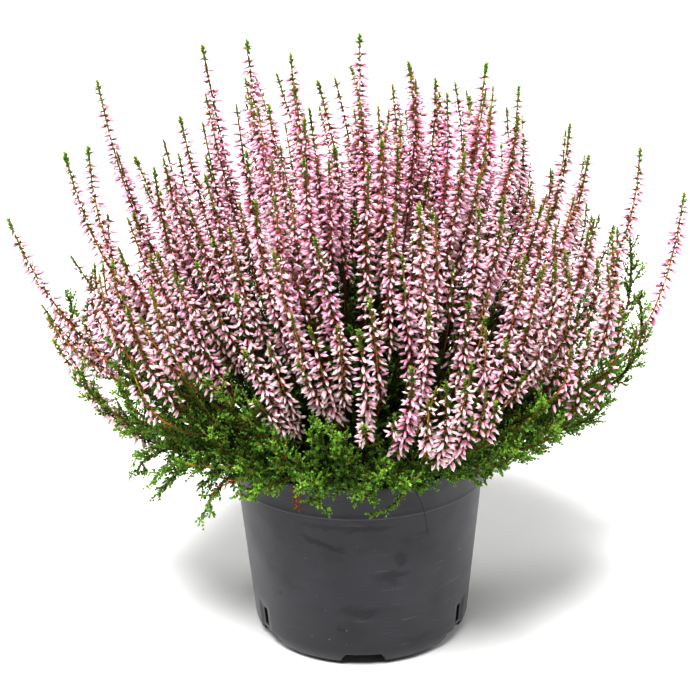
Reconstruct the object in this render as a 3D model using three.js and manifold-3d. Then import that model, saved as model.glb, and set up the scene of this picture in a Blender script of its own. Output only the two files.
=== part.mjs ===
// Potted heather: one bushy, bud-blooming ling in a 12 cm plastic nursery pot.
// Units are millimetres, +Z is up, and the origin is the centre of the pot's foot on the ground.
//
// The bush is a fan of stems. A disc coordinate (u, v) says which way a stem of the fan goes:
// (0, 0) stands up from the crown, radius 1 ends at the widest belt of the dome, and radius 1.2
// hangs over the rim. Shoots sit on a golden-angle spiral of that disc, each branch is the cell
// of shoots round a second, coarser spiral, and so no branch crosses its neighbour.
import * as THREE from 'three';
import { mergeVertices } from 'three/addons/utils/BufferGeometryUtils.js';
import Module from 'manifold-3d';

const wasm = await Module();
wasm.setup();

// ---- pot
const RIM_RADIUS = 60;
const POT_HEIGHT = 91;
const COLLAR_HEIGHT = 14.6;
const COLLAR_FOOT_RADIUS = 57.5;
const BODY_TOP_RADIUS = 56.6;
const BODY_FOOT_RADIUS = 50.3;
const ROUNDING_HEIGHT = 9.7;
const ROUNDING_INSET = 8.2;
const WALL = 1.4;
const COLLAR_LIP = 0.6;
const FOOT_RING_INNER_RADIUS = 39.5;
const FLOOR_UNDERSIDE = 7;
const FLOOR_THICKNESS = 1.4;
const POT_SIDES = 36;
const NOTCH = { count: 6, height: 6.6, footWidth: 20.5, topWidth: 17 };
const DRAIN = { angles: [62, 118, 242, 298], width: 3.2, bottom: 9, top: 17.5 };

// ---- soil
const CLEARANCE = 0.35;
const SOIL_EDGE_HEIGHT = 83;
const SOIL_MOUND = 2.4;
const SOIL_RINGS = [0.95, 0.7, 0.4];
const SOIL_SIDES = 20;
const LUMP = { height: 1.1, alongX: 5.3, alongY: 4.7, slanting: 3.1, slantShare: 0.5 };

// ---- the fan: sizes in mm, angles in degrees, and t is the disc radius of a stem
const GOLDEN_ANGLE = THREE.MathUtils.degToRad(137.508);
const SHOOT_COUNT = 240;
const BRANCH_COUNT = 56;
const BRANCH_TURN = 0.35;
const FAN_EDGE = 1.2;
const BELT = 1;
const CROWN = { radius: 32, height: 88 };
const KNEE = { outward: 34, rise: 24, dip: 6 };
const DOME = { radius: 122, height: 115, belt: 140 };
const LEAN = { outward: 13, hanging: 117, hangingPower: 1.35, bush: -0.10 };
const PULL = { centre: 88, lostAtBelt: 36, lostHanging: 26 };
const HANG = { kneeIn: 42, kneeDown: 8, tipIn: 6, tipDown: 24, most: 1.5 };
const BROW = { lift: 16, from: 0.5, to: 0.9 };
const SWAY = { size: 3, rise: 60, x: { z: 34, y: 48, shift: 0.7 }, y: { z: 37, x: 51, shift: 2.1 } };

// ---- where flowers give way to leaves: the disc radius, less what is cut round an angle from +X
const FLOWER_EDGE = 1.0;
const LEAFY_PLACES = [{ angle: -128, width: 28, cut: 0.13 }, { angle: 0, width: 30, cut: 0.08 }];

// ---- stems and shoots
const STEM_FOOT = 76.3;
const TRUNK_RADIUS = 1.7;
const FORK_RADIUS = 2.4;
const STEM_RADIUS = 1.0;
const FORK = 0.12;
const SPREAD_END = 0.6;
const FLOWER_REACH = { least: -24, spread: 34, power: 1.3 };
const LEAF_REACH = { least: 0.68, spread: 0.2, hanging: 0.08 };
const FLOWER_START = { centre: 0.42, outward: 0.2 };
const LEAF_START = { upright: 0.42, hanging: 0.5 };
const SPIKE = { radius: 5.4, pitch: 10, tipShare: 0.35, taper: 28, leastShare: 0.3, footShare: 0.6 };
const LEAFY = { radius: 3.3, pitch: 14, footShare: 0.75 };
const APEX_GAP = 0.4;
const LENGTH_STEPS = 40;
const TALL_MISS_ALONG = 0.25;
const WAY_STEP = 0.05;

// Tips of the shoots that stand out of the dome, each a place in space.
const TALL_TIPS = [
  [-150, -12, 200], [-122, -20, 230], [-117, 10, 227], [-112, 15, 255], [-65, 10, 270],
  [-45, 0, 273], [-27, 10, 266], [-16, 25, 252], [3, 8, 274], [-1, 30, 258],
  [24, 15, 261], [38, 20, 246], [52, 30, 243], [58, 12, 260], [72, 10, 250],
  [94, 5, 234], [101, -5, 222], [126, 10, 222], [147, 12, 201], [-132, -25, 149],
  [-75, 0, 241], [-100, 32, 218], [119, 28, 183],
];

const paint = (color, roughness) => new THREE.MeshStandardMaterial({ color, roughness, metalness: 0 });
const MATERIALS = {
  pot: paint(0x4b4a50, 0.5),
  soil: paint(0x33261c, 0.95),
  flower: paint(0xdf8fb3, 0.6),
  leaf: paint(0x4c7a2e, 0.6),
};

const clamp = (x, low, high) => Math.min(Math.max(x, low), high);
const fraction = (x) => x - Math.floor(x);
// A repeatable draw between 0 and 1 for item n.
const draw = (n, salt) => fraction(Math.sin(n * 12.9898 + salt * 78.233) * 43758.5453);

// ---- closed meshes and solids

function solidFrom(geometry) {
  const bare = new THREE.BufferGeometry();
  bare.setAttribute('position', geometry.getAttribute('position'));
  if (geometry.index) bare.setIndex(geometry.index);
  const merged = mergeVertices(bare, 1e-4);
  const index = merged.index.array;
  const kept = [];
  for (let i = 0; i < index.length; i += 3) {
    const [a, b, c] = [index[i], index[i + 1], index[i + 2]];
    if (a !== b && b !== c && c !== a) kept.push(a, b, c);
  }
  return new wasm.Manifold(new wasm.Mesh({
    numProp: 3,
    vertProperties: new Float32Array(merged.getAttribute('position').array),
    triVerts: new Uint32Array(kept),
  }));
}

function joined(solids) {
  return solids.reduce((whole, next) => whole.add(next));
}

function meshFrom(name, solid, material) {
  const { vertProperties, triVerts } = solid.getMesh();
  const geometry = new THREE.BufferGeometry();
  geometry.setAttribute('position', new THREE.BufferAttribute(new Float32Array(vertProperties), 3));
  geometry.setIndex(new THREE.BufferAttribute(new Uint32Array(triVerts), 1));
  geometry.computeVertexNormals();
  const mesh = new THREE.Mesh(geometry, material);
  mesh.name = name;
  return mesh;
}

// A turned body about +Z. The profile runs up the outside, from the axis to the axis.
function turned(profile, sides) {
  const points = profile.map(([radius, height]) => new THREE.Vector2(radius, height));
  return new THREE.LatheGeometry(points, sides).rotateX(Math.PI / 2);
}

// ---- pot

function roundedFoot(radiusTop, inset, heightTop, heightFoot, steps) {
  return Array.from({ length: steps + 1 }, (_, i) => {
    const angle = (i / steps) * Math.PI / 2;
    return [
      radiusTop - inset * (1 - Math.sin(angle)),
      heightFoot + (heightTop - heightFoot) * (1 - Math.cos(angle)),
    ];
  });
}

function potProfile() {
  const collarFoot = POT_HEIGHT - COLLAR_HEIGHT;
  const floorTop = FLOOR_UNDERSIDE + FLOOR_THICKNESS;
  const inside = roundedFoot(BODY_FOOT_RADIUS - WALL, ROUNDING_INSET - WALL, ROUNDING_HEIGHT, floorTop, 3);
  return [
    [0, FLOOR_UNDERSIDE],
    [FOOT_RING_INNER_RADIUS, FLOOR_UNDERSIDE],
    [FOOT_RING_INNER_RADIUS, 0],
    ...roundedFoot(BODY_FOOT_RADIUS, ROUNDING_INSET, ROUNDING_HEIGHT, 0, 4),
    [BODY_TOP_RADIUS, collarFoot - COLLAR_LIP],
    [COLLAR_FOOT_RADIUS, collarFoot + COLLAR_LIP / 2],
    [RIM_RADIUS, POT_HEIGHT],
    [RIM_RADIUS - WALL, POT_HEIGHT],
    [BODY_TOP_RADIUS - WALL, collarFoot],
    ...inside.reverse(),
    [0, floorTop],
  ];
}

// A block reaching out through the wall at one angle, counted from the front (-Y).
function radialBlock(outline, reachFrom, reachTo, degrees) {
  const shape = new THREE.Shape(outline.map(([x, z]) => new THREE.Vector2(x, z)));
  const depth = reachTo - reachFrom;
  const block = new THREE.ExtrudeGeometry(shape, { depth, bevelEnabled: false, steps: 1 });
  block.rotateX(Math.PI / 2);
  block.translate(0, -reachFrom, 0);
  block.rotateZ(THREE.MathUtils.degToRad(degrees));
  return solidFrom(block);
}

function makePot() {
  let pot = solidFrom(turned(potProfile(), POT_SIDES));
  const foot = NOTCH.footWidth / 2;
  const top = NOTCH.topWidth / 2;
  const below = -1;
  const notch = [
    [-foot, below], [foot, below], [foot, 0],
    [top, NOTCH.height], [-top, NOTCH.height], [-foot, 0],
  ];
  const inFoot = FOOT_RING_INNER_RADIUS - WALL;
  for (let i = 0; i < NOTCH.count; i += 1) {
    pot = pot.subtract(radialBlock(notch, inFoot, RIM_RADIUS, (i * 360) / NOTCH.count));
  }
  const half = DRAIN.width / 2;
  const slot = [[-half, DRAIN.bottom], [half, DRAIN.bottom], [half, DRAIN.top], [-half, DRAIN.top]];
  const inBody = BODY_FOOT_RADIUS - ROUNDING_INSET;
  for (const angle of DRAIN.angles) {
    pot = pot.subtract(radialBlock(slot, inBody - 2 * WALL, RIM_RADIUS, angle));
  }
  return meshFrom('pot', pot, MATERIALS.pot);
}

// ---- the fan of stems

// How far past the belt a stem lies: 0 inside it, 1 at the fan's edge.
const overRim = (t) => clamp((t - BELT) / (FAN_EDGE - BELT), 0, HANG.most);

// The length of the curve's last control arm, which also sets how far a share of reach goes.
function tipPull(t) {
  return PULL.centre - PULL.lostAtBelt * Math.min(t, BELT) ** 3 - PULL.lostHanging * overRim(t);
}

// How much higher than the round dome a stem ends: the dome's outer part stands up like a brow.
function browLift(t) {
  return BROW.lift * THREE.MathUtils.smoothstep(t, BROW.from, BROW.to);
}

// The way a stem points at its tip: out by its lean, over and down beyond the belt, with the
// upright ones leaning a little to -X as the whole bush does.
function tipWay(t, outX, outY) {
  const over = overRim(t);
  const lean = THREE.MathUtils.degToRad(LEAN.outward * t + LEAN.hanging * over ** LEAN.hangingPower);
  return new THREE.Vector3(
    Math.sin(lean) * outX + LEAN.bush * (1 - Math.min(over, 1)) * Math.cos(lean),
    Math.sin(lean) * outY,
    Math.cos(lean),
  ).normalize();
}

// The place at share s of the way along the stem of disc coordinate (u, v): a cubic curve from the
// crown, out over the rim and up to the dome, carried straight on beyond s = 1. A slow sway of the
// whole bush bends neighbours alike.
function fanPoint(u, v, s) {
  const t = Math.hypot(u, v);
  const [outX, outY] = t > 0 ? [u / t, v / t] : [0, 0];
  const polar = Math.acos(clamp(1 - t * t, -1, 1));
  const over = overRim(t);
  const way = tipWay(t, outX, outY);
  const kneeRadius = CROWN.radius * t + KNEE.outward * t ** 3 - HANG.kneeIn * over;
  const kneeHeight = CROWN.height + KNEE.rise - KNEE.dip * t * t - HANG.kneeDown * over;
  const tipRadius = DOME.radius * Math.sin(polar) - HANG.tipIn * over;
  const tipHeight = DOME.belt + DOME.height * Math.cos(polar) + browLift(t) - HANG.tipDown * over;
  const start = new THREE.Vector3(CROWN.radius * u, CROWN.radius * v, CROWN.height);
  const knee = new THREE.Vector3(kneeRadius * outX, kneeRadius * outY, kneeHeight);
  const tip = new THREE.Vector3(tipRadius * outX, tipRadius * outY, tipHeight);
  const shoulder = tip.clone().addScaledVector(way, -tipPull(t));
  const q = clamp(s, 0, 1);
  const point = start.multiplyScalar((1 - q) ** 3)
    .addScaledVector(knee, 3 * q * (1 - q) ** 2)
    .addScaledVector(shoulder, 3 * q * q * (1 - q))
    .addScaledVector(tip, q ** 3)
    .addScaledVector(way, Math.max(s - 1, 0) * 3 * tipPull(t));
  const { x, y, z } = point;
  const sway = SWAY.size * clamp((z - CROWN.height) / SWAY.rise, 0, 1);
  point.x += sway * Math.sin(z / SWAY.x.z + y / SWAY.x.y + SWAY.x.shift);
  point.y += sway * Math.sin(z / SWAY.y.z - x / SWAY.y.x + SWAY.y.shift);
  return point;
}

function spiral(count, turn) {
  return Array.from({ length: count }, (_, n) => {
    const t = FAN_EDGE * Math.sqrt((n + 0.5) / count);
    const angle = n * GOLDEN_ANGLE + turn;
    return { n, u: t * Math.cos(angle), v: t * Math.sin(angle), t, angle };
  });
}

// The angle from one direction to another, between minus and plus half a turn.
function turnBetween(from, to) {
  const fullTurn = 2 * Math.PI;
  const away = to - from + Math.PI;
  return away - fullTurn * Math.floor(away / fullTurn) - Math.PI;
}

// Disc radius where the flowers end and the leafy skirt begins. Leaves come further up at the
// front left and at the right.
function flowerEdge(direction) {
  return LEAFY_PLACES.reduce((radius, { angle, width, cut }) => {
    const gap = turnBetween(THREE.MathUtils.degToRad(angle), direction);
    return radius - cut * Math.exp(-((gap / THREE.MathUtils.degToRad(width)) ** 2));
  }, FLOWER_EDGE);
}

function branchCells() {
  const branches = spiral(BRANCH_COUNT, BRANCH_TURN).map((centre) => ({
    ...centre,
    flowering: centre.t < flowerEdge(Math.atan2(centre.v, centre.u)),
    shoots: [],
  }));
  for (const shoot of spiral(SHOOT_COUNT, 0)) {
    const gaps = branches.map((b) => Math.hypot(b.u - shoot.u, b.v - shoot.v));
    const branch = branches[gaps.indexOf(Math.min(...gaps))];
    shoot.reach = shootReach(shoot, branch.flowering);
    shoot.pull = new THREE.Vector3();
    shoot.fromCentre = Math.min(...gaps);
    branch.shoots.push(shoot);
  }
  for (const branch of branches) branch.shoots.sort((a, b) => a.fromCentre - b.fromCentre);
  stretchTallShoots(branches.filter((b) => b.flowering).flatMap((b) => b.shoots));
  return branches;
}

// The share of the way at which a shoot ends.
function shootReach({ n, t }, flowering) {
  if (flowering) {
    const past = FLOWER_REACH.least + FLOWER_REACH.spread * draw(n, 1) ** FLOWER_REACH.power;
    return 1 + past / (3 * tipPull(t));
  }
  return LEAF_REACH.least + LEAF_REACH.spread * draw(n, 2) + LEAF_REACH.hanging * overRim(t);
}

// Each tall tip is given to the free shoot that points at it best, and bends that shoot's end.
function stretchTallShoots(shoots) {
  const ends = shoots.map((shoot) => {
    const tip = fanPoint(shoot.u, shoot.v, shoot.reach);
    const way = tip.clone().sub(fanPoint(shoot.u, shoot.v, shoot.reach - WAY_STEP)).normalize();
    return { shoot, tip, way, free: true };
  });
  for (const place of TALL_TIPS) {
    const target = new THREE.Vector3(...place);
    const costs = ends.map(({ tip, way, free }) => {
      const gap = target.clone().sub(tip);
      const along = gap.dot(way);
      const aside = gap.addScaledVector(way, -along).length();
      return free ? aside + TALL_MISS_ALONG * Math.abs(along) : Infinity;
    });
    const best = ends[costs.indexOf(Math.min(...costs))];
    best.free = false;
    best.shoot.pull.copy(target).sub(best.tip);
  }
}

// The shoot leaves its branch's stem at the fork and has reached its own place in the fan by
// SPREAD_END.
function shootPoint(branch, shoot, s) {
  const share = clamp((s - FORK) / (SPREAD_END - FORK), 0, 1);
  const apart = share * (2 - share);
  const u = branch.u + (shoot.u - branch.u) * apart;
  const v = branch.v + (shoot.v - branch.v) * apart;
  return fanPoint(u, v, s).addScaledVector(shoot.pull, (s / shoot.reach) ** 3);
}

// ---- three-cornered stems and spikes

// A closed tube of three-cornered rings. Each ring has a place, a radius and a turn, and the last
// one closes on a point. Rings turned by a sixth against each other stand out as rows of florets.
function ringTube(rings, apex, sideways) {
  const positions = [];
  rings.forEach(({ place, radius, turn }, j) => {
    const before = rings[Math.max(j - 1, 0)].place;
    const after = j + 1 < rings.length ? rings[j + 1].place : apex;
    const along = after.clone().sub(before).normalize();
    const right = sideways.clone().addScaledVector(along, -sideways.dot(along)).normalize();
    const up = along.clone().cross(right);
    for (let i = 0; i < 3; i += 1) {
      const angle = (i / 3) * 2 * Math.PI + turn;
      positions.push(...place.clone()
        .addScaledVector(right, radius * Math.cos(angle))
        .addScaledVector(up, radius * Math.sin(angle)).toArray());
    }
  });
  positions.push(...apex.toArray());
  const index = [0, 2, 1];
  for (let j = 0; j + 1 < rings.length; j += 1) {
    for (let i = 0; i < 3; i += 1) {
      const [a, b] = [3 * j + i, 3 * j + (i + 1) % 3];
      index.push(a, b, a + 3, b, b + 3, a + 3);
    }
  }
  const last = 3 * (rings.length - 1);
  for (let i = 0; i < 3; i += 1) index.push(last + i, last + (i + 1) % 3, last + 3);
  const geometry = new THREE.BufferGeometry();
  geometry.setAttribute('position', new THREE.Float32BufferAttribute(positions, 3));
  geometry.setIndex(index);
  return solidFrom(geometry);
}

const across = ({ angle }) => new THREE.Vector3(-Math.sin(angle), Math.cos(angle), 0);

// The straight foot of a branch's stem: it stands in the soil and leaves it at the crown.
function stemFoot(branch, radius, bottom, top) {
  const crown = fanPoint(branch.u, branch.v, 0);
  return [bottom, top].map((z) => ({ place: crown.clone().setZ(z), radius, turn: 0 }));
}

// The share of the way at which the florets or leaves begin.
function coverStart({ t }, flowering) {
  if (flowering) return FLOWER_START.centre + FLOWER_START.outward * t;
  return LEAF_START.upright + LEAF_START.hanging * Math.max(t - BELT, 0);
}

// The first shoot of a branch is its leader: it carries the stem down into the soil and has the
// thick knuckle in which the others are rooted.
function stemRings(branch, leader, fork) {
  if (!leader) return [{ place: fork, radius: STEM_RADIUS, turn: 0 }];
  return [
    ...stemFoot(branch, TRUNK_RADIUS, STEM_FOOT, CROWN.height),
    { place: fork, radius: FORK_RADIUS, turn: 0 },
  ];
}

// The places at a given distance along a shoot from where its cover begins, and the whole length.
function coveredStretch(branch, shoot) {
  const from = coverStart(shoot, branch.flowering);
  const shareAt = (i) => from + ((shoot.reach - from) * i) / LENGTH_STEPS;
  const lengths = [0];
  for (let i = 1; i <= LENGTH_STEPS; i += 1) {
    const here = shootPoint(branch, shoot, shareAt(i));
    const before = shootPoint(branch, shoot, shareAt(i - 1));
    lengths.push(lengths[i - 1] + here.distanceTo(before));
  }
  const placeAt = (distance) => {
    const i = clamp(lengths.findIndex((length) => length >= distance), 1, LENGTH_STEPS);
    const share = (distance - lengths[i - 1]) / (lengths[i] - lengths[i - 1]);
    return shootPoint(branch, shoot, shareAt(i - 1 + share));
  };
  return { whole: lengths[LENGTH_STEPS], placeAt };
}

// A flower spike swells from its foot and tapers over its last stretch.
function spikeRadius(j, toTip) {
  const taper = clamp(SPIKE.tipShare + toTip / SPIKE.taper, SPIKE.leastShare, 1);
  return SPIKE.radius * taper * (j === 0 ? SPIKE.footShare : 1);
}

function shootSolid(branch, shoot) {
  const leader = shoot === branch.shoots[0];
  const { whole, placeAt } = coveredStretch(branch, shoot);
  const count = Math.round(whole / (branch.flowering ? SPIKE : LEAFY).pitch);
  const pitch = whole / (count + APEX_GAP);
  const rings = stemRings(branch, leader, shootPoint(branch, shoot, FORK));
  for (let j = 0; j < count; j += 1) {
    const radius = branch.flowering
      ? spikeRadius(j, whole - j * pitch)
      : LEAFY.radius * (j === 0 ? LEAFY.footShare : 1);
    rings.push({ place: placeAt(j * pitch), radius, turn: (j * Math.PI) / 3 });
  }
  return ringTube(rings, shootPoint(branch, shoot, shoot.reach), across(leader ? branch : shoot));
}

function makeBranch(branch, name) {
  const solid = joined(branch.shoots.map((shoot) => shootSolid(branch, shoot)));
  return meshFrom(name, solid, branch.flowering ? MATERIALS.flower : MATERIALS.leaf);
}

// ---- soil: it fills the pot, and each stem stands in a plain hole of it

function soilProfile() {
  const inner = potProfile().slice(-6, -1).reverse();
  const collarFoot = POT_HEIGHT - COLLAR_HEIGHT;
  const collarSlope = (RIM_RADIUS - BODY_TOP_RADIUS) / COLLAR_HEIGHT;
  const edge = BODY_TOP_RADIUS - WALL + collarSlope * (SOIL_EDGE_HEIGHT - collarFoot) - CLEARANCE;
  const bottom = FLOOR_UNDERSIDE + FLOOR_THICKNESS + CLEARANCE;
  const sides = inner.map(([radius, z], i) => [radius - CLEARANCE, i === 0 ? bottom : z + CLEARANCE]);
  const top = SOIL_RINGS.map((share) => [edge * share, SOIL_EDGE_HEIGHT + SOIL_MOUND * (1 - share ** 2)]);
  return [[0, bottom], ...sides, [edge, SOIL_EDGE_HEIGHT], ...top, [0, SOIL_EDGE_HEIGHT + SOIL_MOUND]];
}

function lumpHeight(x, y) {
  const round = Math.sin(x / LUMP.alongX + 1.1) * Math.sin(y / LUMP.alongY + 0.4);
  return LUMP.height * (round + LUMP.slantShare * Math.sin((x - y) / LUMP.slanting));
}

function makeSoil(branches) {
  const geometry = turned(soilProfile(), SOIL_SIDES);
  const position = geometry.getAttribute('position');
  for (let i = 0; i < position.count; i += 1) {
    const [x, y, z] = [position.getX(i), position.getY(i), position.getZ(i)];
    if (z > SOIL_EDGE_HEIGHT + CLEARANCE / 2) position.setZ(i, z + lumpHeight(x, y));
  }
  let soil = solidFrom(geometry);
  for (const branch of branches) {
    const hole = stemFoot(branch, TRUNK_RADIUS + 2 * CLEARANCE, STEM_FOOT - CLEARANCE, CROWN.height);
    const above = hole[1].place.clone().setZ(CROWN.height + 1);
    soil = soil.subtract(ringTube(hole, above, across(branch)));
  }
  return meshFrom('soil', soil, MATERIALS.soil);
}

// ---- the whole plant

const heather = new THREE.Group();
const branches = branchCells();
heather.add(makePot(), makeSoil(branches));
const counts = { flower_branch: 0, leafy_spray: 0 };
for (const branch of branches) {
  const kind = branch.flowering ? 'flower_branch' : 'leafy_spray';
  counts[kind] += 1;
  heather.add(makeBranch(branch, `${kind}_${String(counts[kind]).padStart(2, '0')}`));
}

export default heather;
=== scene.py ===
"""Potted heather: one bushy, bud-blooming ling in a dark plastic nursery pot.

Lengths in this file are millimetres, and MM turns them into metres where a mesh, a light or the
camera is made. The pot's foot is at the origin, +Z is up and -Y is the front. Angles round the
plant go from its right (+X) by way of the back.
"""
import math

import bpy
import numpy as np
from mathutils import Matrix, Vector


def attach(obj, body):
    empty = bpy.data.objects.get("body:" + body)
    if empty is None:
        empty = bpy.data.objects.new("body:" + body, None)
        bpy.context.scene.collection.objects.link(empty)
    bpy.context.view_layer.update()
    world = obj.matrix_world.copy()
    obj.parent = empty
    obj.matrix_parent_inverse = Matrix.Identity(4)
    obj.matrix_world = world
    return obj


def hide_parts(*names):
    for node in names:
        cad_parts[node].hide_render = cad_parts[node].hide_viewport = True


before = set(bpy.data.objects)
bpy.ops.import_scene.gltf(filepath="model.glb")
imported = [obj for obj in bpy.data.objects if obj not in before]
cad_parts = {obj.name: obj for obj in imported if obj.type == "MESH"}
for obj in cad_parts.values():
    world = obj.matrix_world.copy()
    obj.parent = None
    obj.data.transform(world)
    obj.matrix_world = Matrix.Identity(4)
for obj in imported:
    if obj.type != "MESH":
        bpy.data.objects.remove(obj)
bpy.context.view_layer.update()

MM = 0.001
SEED = 7

# ---- pot and soil, as in the part's source
RIM_RADIUS = 60.0
POT_HEIGHT = 91.0
COLLAR_HEIGHT = 14.6
BODY_TOP_RADIUS = 56.6
BODY_FOOT_RADIUS = 50.3
ROUNDING_HEIGHT = 9.7
ROUNDING_INSET = 8.2
WALL = 1.4
FOOT_RING_INNER_RADIUS = 39.5
FLOOR_UNDERSIDE = 7.0
NOTCH_COUNT = 6
NOTCH_HEIGHT = 6.6
NOTCH_FOOT_HALF = 10.25
NOTCH_TOP_HALF = 8.5
DRAIN_ANGLES = (62.0, 118.0, 242.0, 298.0)
DRAIN_WIDTH = 3.2
DRAIN_BOTTOM = 9.0
DRAIN_TOP = 17.5
SOIL_HEIGHT = 83.0
SOIL_MOUND = 2.4

# ---- the fan of stems, as in the part's source
GOLDEN_ANGLE = math.radians(137.508)
SHOOT_COUNT = 240
BRANCH_COUNT = 56
BRANCH_TURN = 0.35
FAN_EDGE = 1.2
STEM_FOOT = 76.3
FORK = 0.12
SPREAD_END = 0.6
CROWN_RADIUS, CROWN_HEIGHT = 32.0, 88.0
KNEE_OUTWARD, KNEE_RISE, KNEE_DIP = 34.0, 24.0, 6.0
DOME_RADIUS, DOME_HEIGHT, DOME_BELT = 122.0, 115.0, 140.0
LEAN_OUTWARD, LEAN_HANGING, LEAN_HANGING_POWER = 13.0, 117.0, 1.35
BUSH_LEAN = np.array([-0.10, 0.0, 0.0])
PULL_AT_CENTRE, PULL_LOST_AT_BELT, PULL_LOST_HANGING = 88.0, 36.0, 26.0
HANG_KNEE_IN, HANG_KNEE_DOWN, HANG_TIP_IN, HANG_TIP_DOWN, HANG_MOST = 42.0, 8.0, 6.0, 24.0, 1.5
BROW_LIFT, BROW_START, BROW_WIDTH = 16.0, 0.5, 0.4
SWAY_SIZE, SWAY_RISE = 3.0, 60.0
SWAY_ACROSS, SWAY_DEEP = (34.0, 48.0, 0.7), (37.0, 51.0, 2.1)
FLOWER_EDGE = 1.0
# Humps round the plant, here and below: each one's height, its angle and its width in degrees.
LEAFY_PLACES = ((0.13, -128, 28), (0.08, 0, 30))
REACH_LEAST, REACH_MORE, REACH_POWER = -24.0, 34.0, 1.3
LEAF_REACH_LEAST, LEAF_REACH_MORE = 0.68, 0.2
TALL_MISS_ALONG = 0.25
WAY_STEP = 0.05
TALL_TIPS = np.array([
    (-150, -12, 200), (-122, -20, 230), (-117, 10, 227), (-112, 15, 255), (-65, 10, 270),
    (-45, 0, 273), (-27, 10, 266), (-16, 25, 252), (3, 8, 274), (-1, 30, 258),
    (24, 15, 261), (38, 20, 246), (52, 30, 243), (58, 12, 260), (72, 10, 250),
    (94, 5, 234), (101, -5, 222), (126, 10, 222), (147, 12, 201), (-132, -25, 149),
    (-75, 0, 241), (-100, 32, 218), (119, 28, 183),
], float)


# -------- camera, lights and floor

CAMERA_PLACE = (-5.65, -650.0, 342.9)
CAMERA_DOWN = 0.308
CAMERA_ROLL = -0.018
LENS_LENGTH = 78.84
SENSOR_WIDTH = 36.0
# Each light's name, the direction that it comes from, its strength and how many degrees wide it is.
SUNS = (
    ("key", (-0.25, -1.0, 1.7), 4.15, 20),
    ("fill", (0.8, -1.0, 0.6), 0.25, 60),
    ("top", (0.1, 0.6, 1.4), 0.5, 50),
    ("rim_left", (-1.0, 0.25, 0.45), 1.8, 45),
    ("rim_right", (1.0, 0.25, 0.45), 1.7, 45),
)
ROOM_STRENGTH = 0.085
VIEW_GAMMA = 0.7
VIEW_EXPOSURE = 0.15
FLOOR_HALF = 6000.0


def aim_camera():
    """The camera stands in front of the pot, looks down on it and is turned a touch clockwise."""
    lens = bpy.data.cameras.new("camera")
    lens.sensor_fit = "HORIZONTAL"
    lens.sensor_width = SENSOR_WIDTH
    lens.lens = LENS_LENGTH
    camera = bpy.data.objects.new("camera", lens)
    bpy.context.scene.collection.objects.link(camera)
    tilt = Matrix.Rotation(math.pi / 2 - CAMERA_DOWN, 4, "X")
    place = Matrix.Translation(Vector(CAMERA_PLACE) * MM)
    camera.matrix_world = place @ tilt @ Matrix.Rotation(CAMERA_ROLL, 4, "Z")
    bpy.context.scene.camera = camera


def light_studio():
    """A soft key light from the upper left front, a weak fill from the right front, one from above
    and behind, one from either side and a little behind, and a dim white room."""
    for name, source, strength, degrees in SUNS:
        light = bpy.data.lights.new(name, "SUN")
        light.energy = strength
        light.angle = math.radians(degrees)
        lamp = bpy.data.objects.new(name, light)
        bpy.context.scene.collection.objects.link(lamp)
        lamp.matrix_world = Vector(source).to_track_quat("Z", "Y").to_matrix().to_4x4()
    world = bpy.data.worlds.new("studio")
    world.use_nodes = True
    room = world.node_tree.nodes["Background"]
    room.inputs["Color"].default_value = (1, 1, 1, 1)
    room.inputs["Strength"].default_value = ROOM_STRENGTH
    bpy.context.scene.world = world
    view = bpy.context.scene.view_settings
    view.view_transform = "Standard"
    view.gamma = VIEW_GAMMA
    view.exposure = VIEW_EXPOSURE


def lay_floor():
    """One wide square under the pot."""
    low, high = -FLOOR_HALF, FLOOR_HALF
    corners = np.array([(low, low, 0), (high, low, 0), (high, high, 0), (low, high, 0)])
    floor = mesh_object("floor", corners, np.array([(0, 1, 2, 3)]), None, floor_material(), False)


# -------- vectors and meshes

UP = np.array([0.0, 0.0, 1.0])


def unit(vectors):
    """Vectors divided by their lengths."""
    return vectors / np.linalg.norm(vectors, axis=-1, keepdims=True)


def dot(a, b):
    """Sum of the products of two vectors, as one number on the last axis."""
    return (a * b).sum(-1, keepdims=True)


def squared_to(along, hint):
    """Unit vector in hint's direction, less its share along."""
    return unit(hint - dot(hint, along) * along)


def around(way, hint, turn):
    """Unit vectors square to way, turned round it from the side of hint."""
    right = squared_to(way, hint)
    return np.cos(turn)[..., None] * right + np.sin(turn)[..., None] * np.cross(way, right)


def across(angle):
    """Level unit vector square to the direction of an angle."""
    return np.stack([-np.sin(angle), np.cos(angle), np.zeros_like(angle)], axis=-1)


def climb(value, start, width):
    """0 at start, straight up to 1 at width beyond it, and level outside; a width under 0 climbs
    the other way."""
    return np.clip((value - start) / width, 0, 1)


def cubic(q, a, b, c, d):
    """The cubic curve with corners a, b, c and d, at share q: a and d are its ends, and it leaves
    them towards b and c."""
    return (1 - q) ** 3 * a + 3 * q * (1 - q) ** 2 * b + 3 * q * q * (1 - q) * c + q ** 3 * d


def curve(corners, count):
    """Places at even shares along the cubic curve of four corners."""
    return cubic(np.linspace(0, 1, count)[:, None], *np.array(corners, float))


def length_of(line):
    """Sum of the steps along a line of places."""
    return np.linalg.norm(np.diff(line, axis=0), axis=1).sum()


def walk(line, distances):
    """Places and unit directions at the given distances along one line of places."""
    lengths = np.concatenate([[0], np.cumsum(np.linalg.norm(np.diff(line, axis=0), axis=1))])
    ways = unit(np.gradient(line, axis=0))
    place = np.stack([np.interp(distances, lengths, line[:, i]) for i in range(3)], axis=1)
    way = np.stack([np.interp(distances, lengths, ways[:, i]) for i in range(3)], axis=1)
    return place, unit(way)


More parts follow.
